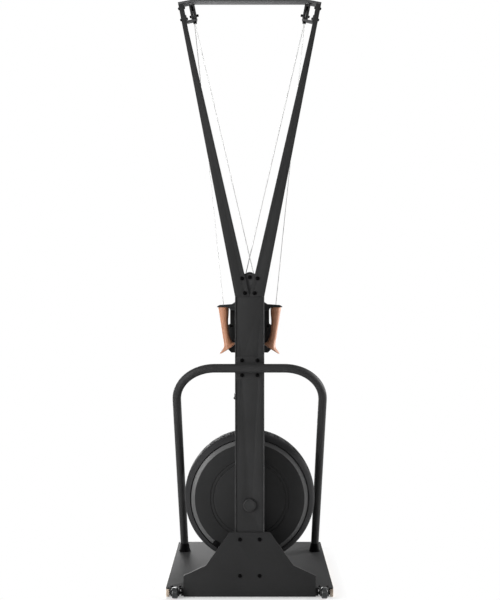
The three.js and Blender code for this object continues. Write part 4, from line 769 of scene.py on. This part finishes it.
# %% Sweep the tube
brace_radius, brace_bend, brace_height, brace_setback = 16, 145, 841, 19.5
leg_x, brace_foot_depth, boot_inside, bend_steps, leg_steps = 272, 478, 14, 24, 10
brace_slope = math.atan2(brace_foot_depth + brace_setback, brace_height - deck_height)
leg_length = (brace_height - deck_height) / math.cos(brace_slope)


def brace_point(x, along):
    return bench(x, along * math.sin(brace_slope) - brace_setback,
                 brace_height - along * math.cos(brace_slope))


def brace_half(side):
    turns = [math.pi * k / (2 * bend_steps) for k in range(bend_steps + 1)]
    bend = [brace_point(side * (leg_x - brace_bend + brace_bend * math.sin(turn)),
                        brace_bend * (1 - math.cos(turn))) for turn in turns]
    straight = leg_length - boot_inside - brace_bend
    leg = [brace_point(side * leg_x, brace_bend + straight * k / leg_steps) for k in range(1, leg_steps + 1)]
    return bend + leg


brace_path = [*reversed(brace_half(-1)), *brace_half(1)]
fitted(tube("brace_tube_sweep", brace_path, brace_radius * mm, 48), black_frame,
       "brace_tube")
print("the brace tube is", round(length_of(brace_path), 3), "m long")


# %% Plate and saddle behind the tube
def add_box(work, low, high, moved=lambda corner: corner):
    """Adds a box from corner to corner. Each of its corners may be moved by a function."""
    for vert in bmesh.ops.create_cube(work, size=1)["verts"]:
        vert.co = moved(Vector((low[i] + (high[i] - low[i]) * (vert.co[i] + 0.5) for i in range(3))))


def mesh_from(work, name):
    mesh = bpy.data.meshes.new(name)
    work.to_mesh(mesh)
    work.free()
    return mesh


def slab_piece(name, low, high, edge):
    """A painted plate from corner to corner with rounded edges."""
    work = bmesh.new()
    add_box(work, low, high)
    bmesh.ops.bevel(work, geom=work.edges[:], offset=edge * mm, segments=3, profile=0.5,
                    affect="EDGES", clamp_overlap=True)
    return fitted(smoothed(mesh_from(work, name)), black_frame)


plate_reach, plate_half_height, saddle_reach, saddle_half_height = 49.3, 40, 45, 9
slab_piece("brace_plate", bench(-plate_reach, joint_face, brace_height - plate_half_height),
           bench(plate_reach, joint_face + 3, brace_height + plate_half_height), 0.6)
slab_piece("brace_saddle", bench(-saddle_reach, joint_face - 4, brace_height - saddle_half_height),
           bench(saddle_reach, 0, brace_height + saddle_half_height), 0.8)
print("the brace tube has its plate and saddle")

# %% [markdown]
# ## Rubber boots on the brace's feet
# Where the sloping legs meet the base, a flared rubber boot hides the joint. It is a stack of level
# ovals that follow the leg upwards: wide at the foot, with a waist, and a thin rolled lip that
# grips the tube.

# %% Stack the boot's ovals
boot_height = 41
boot_rings = [(0.3, 24.5), (1.6, 24.4), (4, 23.4), (8, 21.9), (14.35, 20.5), (22, 19.5), (31, 18.5),
              (38.5, 18.0), (40.4, 17.9), (boot_height, 17.3), (boot_height, 16.3), (34, 16.15), (26, 16.15)]


def boot(label, side, sides=64):
    rows = []
    for rise, radius in boot_rings:
        share = min(rise / boot_height, 1)
        stretch = 1 + (1 / math.cos(brace_slope) - 1) * share
        centre = brace_point(side * leg_x, leg_length - rise / math.cos(brace_slope))
        turns = [2 * math.pi * k / sides for k in range(sides)]
        rows.append([centre + Vector((radius * math.cos(turn), radius * stretch * math.sin(turn), 0)) * mm
                     for turn in turns])
    fitted(smoothed(skin(f"{label}_brace_boot", rows), 50), boot_rubber,
           f"{label}_brace_foot")


for label, side in both_sides:
    boot(label, side)
print("boots are", boot_height, "mm tall")

# %% [markdown]
# ## The flywheel housing, rear shell
# The housing is a drum of moulded plastic in two halves. The rear half carries all that the
# photograph shows: a flat disc with a shallow round step, a bevelled trim ring, a dark groove and a
# ribbed outer band with air vents. Disc, ring and band are made as open skins from profiles, and a
# solidify modifier gives them their wall, so vents cut in the skin get true edges.

# %% Open skins from a profile
housing_start, housing_depth, housing_radius = 106, 140, 250
housing_end = housing_start + housing_depth


def turned_skin(name, profile, sides, edge=0.0, wave=None, left_out=None):
    """A skin about the axle. The profile holds [radius, depth] pairs, and wave may lower a row."""
    soft = eased(profile, edge) if edge else [Vector(p) for p in profile]
    rows = []
    for radius, depth in soft:
        row = []
        for side in range(sides):
            turn = 2 * math.pi * side / sides
            reach = radius - (wave(radius, depth, side) if wave else 0)
            row.append(axle_centre + Vector((reach * math.cos(turn), depth, reach * math.sin(turn))) * mm)
        rows.append(row)
    return skin(name, rows, left_out=(lambda band, step: left_out(soft[band], soft[band + 1], step, sides))
                if left_out else None)


def walled(piece, thickness):
    """Gives an open skin its wall, on the side away from its faces' normals."""
    wall = piece.modifiers.new("wall", "SOLIDIFY")
    wall.thickness = thickness * mm
    wall.offset = -1
    wall.use_even_offset = True
    return settled(piece)


def settled(piece):
    """Applies the modifiers, so the mesh is what is seen."""
    graph = bpy.context.evaluated_depsgraph_get()
    mesh = bpy.data.meshes.new_from_object(piece.evaluated_get(graph))
    piece.modifiers.clear()
    piece.data = mesh
    smoothed(mesh)
    return piece


def outwards(mesh, way):
    """Turns the faces so that the face furthest along way looks along it."""
    face = max(mesh.polygons, key=lambda f: f.center.dot(way))
    if face.normal.dot(way) < 0:
        mesh.flip_normals()
    return mesh


print("the housing is", 2 * housing_radius, "mm across and", housing_depth, "mm deep")

# %% Disc with its shallow round step
disc_profile = [(34, -10.6), (34, -3), (35.5, 0), (134.4, 0), (134.7, 2.6), (136.8, 2.6), (137.2, 1.2),
                (146.8, 1.2), (147.2, 2.6), (149.4, 2.6), (149.7, 0), (207.6, 0)]


def rear_skin(name, profile, sides, finish, wall, **more):
    """A walled skin on the housing's rear. Its profile's depths run from the housing's start."""
    set_back = [(radius, housing_start + depth) for radius, depth in profile]
    mesh = outwards(turned_skin(name, set_back, sides, **more), rearwards)
    return walled(fitted(mesh, finish), wall)


disc = rear_skin("housing_disc", disc_profile, 240, rear_shell, 3, edge=0.3)
print("disc faces:", len(disc.data.polygons))

# %% Bevelled ring with the damper's slot
damper_angle, damper_travel, damper_pitch, damper_width = 233.4, 50, 213, 24
half_slot = math.degrees((damper_width / 2 + 0.8) / damper_pitch)
slot_inner, slot_outer = 209.4, 216.6
ring_profile = [(207.6, 0), (208.4, 0.25), (209.5, 0.86), (216.5, 4.86), (221, 7.4), (222, 8.3), (222, 14)]


def in_damper_slot(near, far, step, sides):
    turn = (step + 0.5) * 360 / sides
    radius = (near.x + far.x) / 2
    return (slot_inner < radius < slot_outer
            and damper_angle - half_slot < turn < damper_angle + damper_travel + half_slot)


trim = rear_skin("housing_trim_ring", ring_profile, 360, ring_trim, 2.6, left_out=in_damper_slot)
print("ring faces:", len(trim.data.polygons))

# %% Ribbed band with its vents
vent_number, vent_near, vent_far, vent_share, band_sides = 36, 34, 63, 0.27, 1080
rib_depth, steps_per_rib, rib_start, rib_rise = 0.8, 4, 228, 6
band_profile = [(222, 13.4), (222.4, 14), (225.6, 14), (226, 13.4), (226, 7.6), (226.5, 7.2), (228, 8),
                (233, 11.3), (237, 14), (241, 17.2), (244.2, 21), (246.8, 26), (248, 31), (248.3, 34),
                (249, 48), (249.6, 63), (250, 69.6)]


def rib_wave(radius, depth, side):
    strength = max(0.0, min(1.0, (radius - rib_start) / rib_rise))
    return rib_depth * strength * (0.5 - 0.5 * math.cos(2 * math.pi * side / steps_per_rib))


def in_vent(depth, step, sides):
    place = (step + 0.5) / sides * vent_number - 0.5
    open_here = step % steps_per_rib in (1, 2)
    return vent_near < depth < vent_far and abs(place - round(place)) < vent_share and open_here


def band(name, node, face, way):
    """One half's outer band. Its depths run from that half's face, backwards (1) or forwards (-1)."""
    def cut_here(near, far, step, sides):
        return in_vent(((near.y + far.y) / 2 - face) * way, step, sides)

    profile = [(radius, face + depth * way) for radius, depth in band_profile]
    mesh = turned_skin(name, profile, band_sides, wave=rib_wave, left_out=cut_here)
    return walled(fitted(outwards(mesh, Vector((1, 0, 0))), band_plastic, node), 3)


rear_band = band("housing_rear_band", "housing_rear", housing_start, 1)
print("band faces:", len(rear_band.data.polygons))

# %% [markdown]
# ## The front shell and its grille
# The front of the housing lets air in through a round grille of 24 straight slots about a raised
# nose. Straight slots don't lie on a turned skin's lines, so here the solid shell is turned first
# and the slots are then cut out of it with a boolean.

# %% Cut one solid with another
def carved(piece, cutter):
    tool = bpy.data.objects.new("carving_tool", cutter)
    bpy.context.scene.collection.objects.link(tool)
    cut = piece.modifiers.new("cut", "BOOLEAN")
    cut.operation = "DIFFERENCE"
    cut.solver = "EXACT"
    cut.object = tool
    settled(piece)
    bpy.data.objects.remove(tool)
    return piece


def about_axle(degrees):
    """Turns a place in millimetres about the axle, and sets it on the bench."""
    spin = Matrix.Rotation(-math.radians(degrees), 4, "Y")
    return lambda place: axle_centre + spin @ place * mm


# %% Front disc with nose and grille
slot_count, slot_from, slot_to, slot_width, slot_reach = 24, 70, 196, 9, 12
front_profile = [(0.01, -10), (40.5, -10), (44, -9), (51, -1), (54, 0), (207, 0), (225.8, 0), (225.8, 3),
                 (205, 3), (53, 3), (0.01, 3)]
slots = bmesh.new()
for k in range(slot_count):
    add_box(slots, (slot_from, housing_end - slot_reach, -slot_width / 2),
            (slot_to, housing_end + slot_reach, slot_width / 2), about_axle(360 / slot_count * k))
front_disc = fitted(turned(
    "housing_grille", [(radius, housing_end - depth) for radius, depth in front_profile],
    axle_centre, forwards, 192, 0.8), black_plastic)
carved(front_disc, mesh_from(slots, "grille_slots"))
band("housing_front_band", "housing_front", housing_end, -1)
print("grille faces:", len(front_disc.data.polygons))

# %% Screws of the case
case_screw_pitch, case_screw_start, case_screws = 214, 294, 5
turns = [math.radians(case_screw_start + 360 / case_screws * k) for k in range(case_screws)]
heads("case_screw_heads", [
    (bench(case_screw_pitch * math.cos(turn), housing_end, axle_height + case_screw_pitch * math.sin(turn)),
     forwards) for turn in turns], 4.6, 2.6)
print("case screws:", case_screws)

# %% [markdown]
# ## Fan wheel
# The fan wheel turns on the axle between the shells. Its twelve blades are swept back and stand
# between a back plate and a narrow front ring, so it can be seen through the grille and the vents.

# %% Fan wheel
fan_radius, fan_from, fan_to, blade_root, blade_sweep, blade_count = 204, 122, 218, 70, 18, 12
blade_gap, blade_bow, half_blade, fan_plate, fan_bore, fan_hub = 2, 7, 1.5, 4, 10.4, 26


def add_blade(work, degrees):
    tip, sweep = fan_radius - 3, math.radians(blade_sweep)
    root = Vector((blade_root, 0, 0))
    end = Vector((tip * math.cos(sweep), 0, tip * math.sin(sweep)))
    bow = (end - root).cross(forwards).normalized() * blade_bow
    set_down = about_axle(degrees)
    near_edge, far_edge = forwards * (fan_from + blade_gap), forwards * (fan_to - blade_gap)
    stations, rows = 12, []
    for k in range(stations + 1):
        share = k / stations
        middle = root.lerp(end, share) + bow * math.sin(math.pi * share)
        ahead = (end - root + bow * math.pi * math.cos(math.pi * share)).normalized()
        across = ahead.cross(forwards).normalized() * half_blade
        rows.append([work.verts.new(set_down(corner)) for corner in (
            middle - across + near_edge, middle + across + near_edge,
            middle + across + far_edge, middle - across + far_edge)])
    for near, far in zip(rows, rows[1:]):
        for k in range(4):
            work.faces.new((near[k], near[(k + 1) % 4], far[(k + 1) % 4], far[k]))
    work.faces.new(rows[0][::-1])
    work.faces.new(rows[-1])


wheel_profile = [(fan_bore, fan_to), (fan_hub, fan_to), (fan_hub, fan_from + 12), (34, fan_from + fan_plate),
                 (fan_radius, fan_from + fan_plate), (fan_radius, fan_from), (fan_bore, fan_from)]
ring_corners = [(fan_radius - 16, fan_to - fan_plate), (fan_radius, fan_to - fan_plate),
                (fan_radius, fan_to), (fan_radius - 16, fan_to)]
fan_mesh = turned("fan_wheel_vaned", wheel_profile, axle_centre, forwards, 180, 1.0)
work = bmesh.new()
work.from_mesh(fan_mesh)
work.from_mesh(turned("fan_front_ring", ring_corners, axle_centre, forwards, 180, 0.8, closed=True))
for k in range(blade_count):
    add_blade(work, 360 / blade_count * k)
bmesh.ops.recalc_face_normals(work, faces=work.faces)
work.to_mesh(fan_mesh)
work.free()
fitted(smoothed(fan_mesh), fan_plastic, "fan_wheel")
print("the fan wheel has", blade_count, "blades")

# %% [markdown]
# ## Axle cap and damper lever
# A turned cap covers the axle's end on the column's back, and a small block on the trim ring is the
# lever that sets the damper.

# %% Axle cap and damper lever
cap_profile = [(0.01, -6), (16, -6), (21, -5.9), (22.6, -5.2), (24, -3), (24, 2.7), (11.4, 2.7)]
fitted(turned("axle_cap_turned", cap_profile, axle_centre, forwards, 96, 0.8), rear_shell,
       "axle_cap")
softened("damper_lever", boot_rubber, 1.0, 3)
print("cap and lever done")

# %% [markdown]
# ## Pulley heads
# Each pulley is a grooved sheave between the cheeks of a swivelling yoke. The sheave is turned, with
# a round groove for the cord, thin lips and a web with a hub, and a black bolt runs through it.

# %% Sheaves and their bolts
def both_faces(half, *middle):
    """A wheel's profile from the half of it at one face, and what lies between the halves."""
    return [*half, *middle, *((radius, -place) for radius, place in reversed(half))]


sheave_radius = 18.5
sheave_profile = both_faces([
    (3.2, -6.5), (6, -6.5), (6.6, -5.2), (11.5, -5.2), (12.2, -6.5), (18.1, -6.5), (sheave_radius, -6.0),
    (sheave_radius, -4.7), (17.4, -3.2), (16.3, -1.6)], (16, 0))
sheave_bolt_profile = [(0.01, 15.8), (3.6, 15.8), (4.8, 14.8), (4.8, 10.8), (3, 10.8), (3, -10.8),
                       (4.8, -10.8), (4.8, -16.6), (3.4, -18.2), (0.01, -18.2)]
for label, side in both_sides:
    out = Vector((side * math.cos(lean), 0, -math.sin(lean)))
    middle = at_head(side, 0, sheave_depth, 0)
    fitted(turned(f"{label}_sheave_turned", sheave_profile, middle, out, 72, 0, closed=True),
           black_plastic, f"{label}_sheave")
    fitted(turned(f"{label}_sheave_bolt_turned", sheave_bolt_profile, middle, out, 32, 0.3),
           black_bolt, f"{label}_sheave_bolt")
print("sheaves are", 2 * sheave_radius, "mm across")

# %% Collars of the swivel pins
upper_collar = [(3, 36.8), (8.05, 36.8), (8.05, 44), (3, 44)]
lower_collar = [(2.55, -33.5), (6.65, -33.5), (6.65, -26.3), (5, -26.3), (5, -19), (6.85, -19),
                (6.85, -16.2), (2.55, -16.2)]
for label, side in both_sides:
    pin_up = Vector((side * math.sin(lean), 0, math.cos(lean)))
    pin = at_head(side, 0, swivel_depth, 0)
    # The upper collars belong with the black frame paint. Their lighter grey is painted light.
    for name, profile, finish, slot in (("upper", upper_collar, grey_paint_and_painted_underlight, "black_frame"),
                                        ("lower", lower_collar, black_bolt, "black_bolts")):
        fitted(turned(f"{label}_{name}_pin_collar", profile, pin, pin_up, 48, 0.4, closed=True),
               finish, body=f"{label}_pulley_head")
print("pin collars are on")

# %% [markdown]
# ## Handles
# A handle is one soft moulding. It is widest under the dock's wing, has its waist a third of the way
# down on the inner side, and flares into a slanted oval foot that stops the hand. It is a loft of
# ovals whose inner and outer halves differ. A smooth curve through the measured sections gives the
# ovals between them, and the top is cut level, so that it sits flush under the wing.

# %% Sections of a handle
grip_top, grip_edge = 18.3, 1.2
foot_drop, foot_half_length, foot_half_width, foot_tilt, foot_thickness = 161, 36.4, 22, 27.6, 3.5
# Shares of the foot's drop, then of the top radius outwards, inwards and in depth, and of the tilt
grip_sections = [(0.05, 1.115, 1.06, 0.985, 0), (0.18, 1.04, 0.9, 0.87, 0), (0.354, 0.967, 0.635, 0.74, 0),
                 (0.584, 0.847, 0.568, 0.65, 0), (0.714, 0.806, 0.7, 0.67, 0),
                 (0.795, 0.743, 0.923, 0.74, 0), (0.876, 0.77, 1.18, 0.84, 0.51),
                 (0.932, 1.07, 1.59, 1, 0.8), (0.978, 1.99, 1.99, 1.2, 1)]
rim_shares = (1.14, 1.07, 0.985)


def handle_ring(drop, outer, inner, deep, tilt, level=None, sides=96):
    """One oval on the right handle. A level oval is slid along the axis to one height."""
    """One oval on the right handle. A level oval is slid along the axis to one height."""
    up = cord_rise.normalized()
    out = (Vector((1, 0, 0)) - up * up.x).normalized()
    across = up.cross(out)
    tilt = math.radians(tilt)
    row = []
    for k in range(sides):
        turn = 2 * math.pi * k / sides
        reach = math.cos(turn) * (outer if math.cos(turn) > 0 else inner)
        spot = handle_top + (out * (reach * math.cos(tilt)) + across * (deep * math.sin(turn))
                             - up * (drop + reach * math.sin(tilt))) * mm
        if level is not None:
            spot += up * ((handle_top.z - level * mm - spot.z) / up.z)
        row.append(spot)
    return row


# %% Loft the handles
def handle_rows():
    rows = [handle_ring(0, *(share * r for share in rim_shares), 0, level) for level, r in (
        (0.6, 3.4), (0.2, 4.4), (0, 5.4), (0, 12), (0, grip_top - grip_edge), (0.12, grip_top - 0.7),
        (0.5, grip_top - 0.25), (grip_edge, grip_top))]
    marks = [Vector((drop * foot_drop, tilt * foot_tilt)) for drop, *_, tilt in grip_sections]
    widths = [Vector(section[1:4]) * grip_top for section in grip_sections]
    for mark, width in zip(curved(marks), curved(widths)):
        rows.append(handle_ring(mark.x, *width, mark.y))
    flare_end = foot_drop - foot_thickness
    for drop, inset in ((1.0, 0), (2.4, 0.15), (3.1, 0.8), (3.5, 2.0), (3.3, 6.0), (2.2, 14.0), (1.6, 21)):
        long, wide = foot_half_length - inset, max(foot_half_width - inset * 0.9, 2)
        rows.append(handle_ring(flare_end + drop, long, long, wide, foot_tilt))
    return rows


collar_profile = [(1.55, -1), (3.2, -1), (3.2, 3), (2.6, 4.6), (1.55, 5)]
for label, side in both_sides:
    rows = [[mirrored(spot, side) for spot in row] for row in handle_rows()]
    fitted(smoothed(skin(f"{label}_handle_moulding", rows, caps=True), 50), tan_grip,
           f"{label}_handle")
    fitted(turned(f"{label}_cord_collar", collar_profile, mirrored(handle_top, side),
                  mirrored(cord_rise, side), 48, 0.3),
           black_plastic, body=body_of[f"{label}_handle"])
print("a handle is", foot_drop, "mm long")

# %% [markdown]
# ## Transport wheels
# Two small wheels stand out behind the base, so that the machine rolls when it is tipped. They
# have a glossy hard tyre with a rounded tread and a recessed hub.

# %% Turn the wheels
wheel_x, wheel_depth, wheel_height = 272.4, -20, 21.5
tyre_profile = both_faces([(4.2, -11), (7.5, -11), (8, -9.2), (14, -9.2), (14.6, -11), (16, -11), (18.6, -10),
                           (20, -7)])
for label, side in both_sides:
    centre = bench(side * wheel_x, wheel_depth, wheel_height)
    fitted(turned(f"{label}_wheel_turned", tyre_profile, centre, (side, 0, 0), 72, 1.2, closed=True),
           tyre, f"{label}_wheel")
print("wheels are turned")

# %% [markdown]
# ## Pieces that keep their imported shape
# Drums, rollers, bearings, posts and the axle are already right, and mostly out of sight inside the
# column. They only need their finishes.

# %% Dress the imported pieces
def dress(finish, *nodes):
    for node in nodes:
        piece = frame["nodes"][node]
        if not piece.material_slots:
            piece.data.materials.append(finish)
        for slot in piece.material_slots:
            slot.link = "OBJECT"
            slot.material = finish


dress(black_plastic, "left_guide_roller", "right_guide_roller", "left_drum", "right_drum")
dress(bright_steel, "axle", "rear_bearing", "front_bearing", "upper_return_post", "lower_return_post")
print("packed pieces dressed")

# %% [markdown]
# ## Floor and light
# The photograph is a studio picture on white. The floor is a wide disc, pale under the machine,
# where it keeps the soft shadow, and plain white from 60 mm outside the base plate. The world shows
# white to the camera, in reflections and through glass, and lights the machine evenly but less
# strongly than that. Large soft lamps on the left and the right draw the bright edges that the
# photograph has, and weaker ones fill in the rear and the front.

# %% Tell which rays see white
def seen_rays(nodes):
    """1 for a ray from the camera, in a reflection or through glass, and 0 for all other light."""
    rays = nodes.add("ShaderNodeLightPath").outputs
    near = nodes.maths("MAXIMUM", rays["Is Camera Ray"], rays["Is Glossy Ray"])
    return nodes.maths("MAXIMUM", near, rays["Is Transmission Ray"])


def shown(nodes, share, own, white, ending):
    """Ends a tree in its own shader, with white in its place on the given share of the rays."""
    mix = nodes.add("ShaderNodeMixShader", Fac=share)
    nodes.give(mix.inputs[1], own)
    nodes.give(mix.inputs[2], white)
    nodes.give(nodes.tree.nodes[ending].inputs["Surface"], mix.outputs["Shader"])


# %% Floor
floor_radius, fade_reach, least_white = 12.0, 0.06, 0.3


def floor_finish():
    finish = Finish("pale_studio_floor")
    low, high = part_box("base_plate")
    middle, half = (low + high) / 2, (high - low) / 2
    place, zero = finish.place, (0, 0, 0)
    for operation, value in (("SUBTRACT", (middle.x, middle.y, 0)), ("ABSOLUTE", zero),
                             ("SUBTRACT", (half.x, half.y, 0)), ("MAXIMUM", zero), ("LENGTH", zero)):
        step = finish.add("ShaderNodeVectorMath")
        step.operation = operation
        finish.give(step.inputs[0], place)
        finish.give(step.inputs[1], value)
        place = step.outputs["Value" if operation == "LENGTH" else "Vector"]
    fade = finish.spread(place, least_white, 1.0, 0.0, fade_reach)
    finish.coat("Base Color", finish.mixed(finish.spread(finish.noise(5)), (0.89,) * 3, (0.93,) * 3))
    finish.coat("Roughness", 0.5)
    finish.coat("Specular IOR Level", 0.3)
    white = finish.add("ShaderNodeEmission", Color=(1, 1, 1), Strength=1.0)
    shown(finish, finish.maths("MULTIPLY", seen_rays(finish), fade), finish.shader.outputs["BSDF"],
          white.outputs["Emission"], "Material Output")
    return finish.material


floor_rows = [[Vector((r * math.cos(math.pi * k / 48), r * math.sin(math.pi * k / 48), 0)) for k in range(96)]
              for r in (0.001, 0.5, 1.0, 2.0, 5.0, floor_radius)]
floor = bpy.data.objects.new("studio_floor", outwards(skin("studio_floor", floor_rows), upwards))
bpy.context.scene.collection.objects.link(floor)
floor.data.materials.append(floor_finish())
print("the floor is", 2 * floor_radius, "m wide")

# %% World
world = bpy.data.worlds.new("white_studio")
bpy.context.scene.world = world
world.use_nodes = True
sky = Nodes(world.node_tree)
plain = sky.tree.nodes["Background"]
sky.give(plain.inputs["Color"], (0.95, 0.97, 1.0))
sky.give(plain.inputs["Strength"], 0.13)
white = sky.add("ShaderNodeBackground", Color=(1, 1, 1), Strength=1.0)
shown(sky, seen_rays(sky), plain.outputs["Background"], white.outputs["Background"], "World Output")
print("the world lights with strength", round(plain.inputs["Strength"].default_value, 2))


# %% Lamps
def lamp(name, place, size, power, aim=Vector((0, 0, 0.9))):
    light = bpy.data.lights.new(name, "AREA")
    light.shape = "RECTANGLE"
    light.size, light.size_y = size
    light.energy = power
    holder = bpy.data.objects.new(name, light)
    holder.location = place
    holder.rotation_euler = (aim - Vector(place)).to_track_quat("-Z", "Y").to_euler()
    bpy.context.scene.collection.objects.link(holder)


lamp("left_softbox", (-3.35, -2.35, 1.5), (1.5, 3.0), 168)
lamp("left_fill", (-2.8, -3.0, 1.3), (1.4, 2.6), 28)
lamp("rear_fill", (0, -4.4, 2.6), (2.4, 2.0), 20)
lamp("right_softbox", (3.9, 0.8, 1.4), (1.4, 2.6), 320)
lamp("front_softbox", (-1.2, 3.9, 0.7), (2.2, 1.2), 120)
bpy.context.scene.view_settings.view_transform = "Standard"
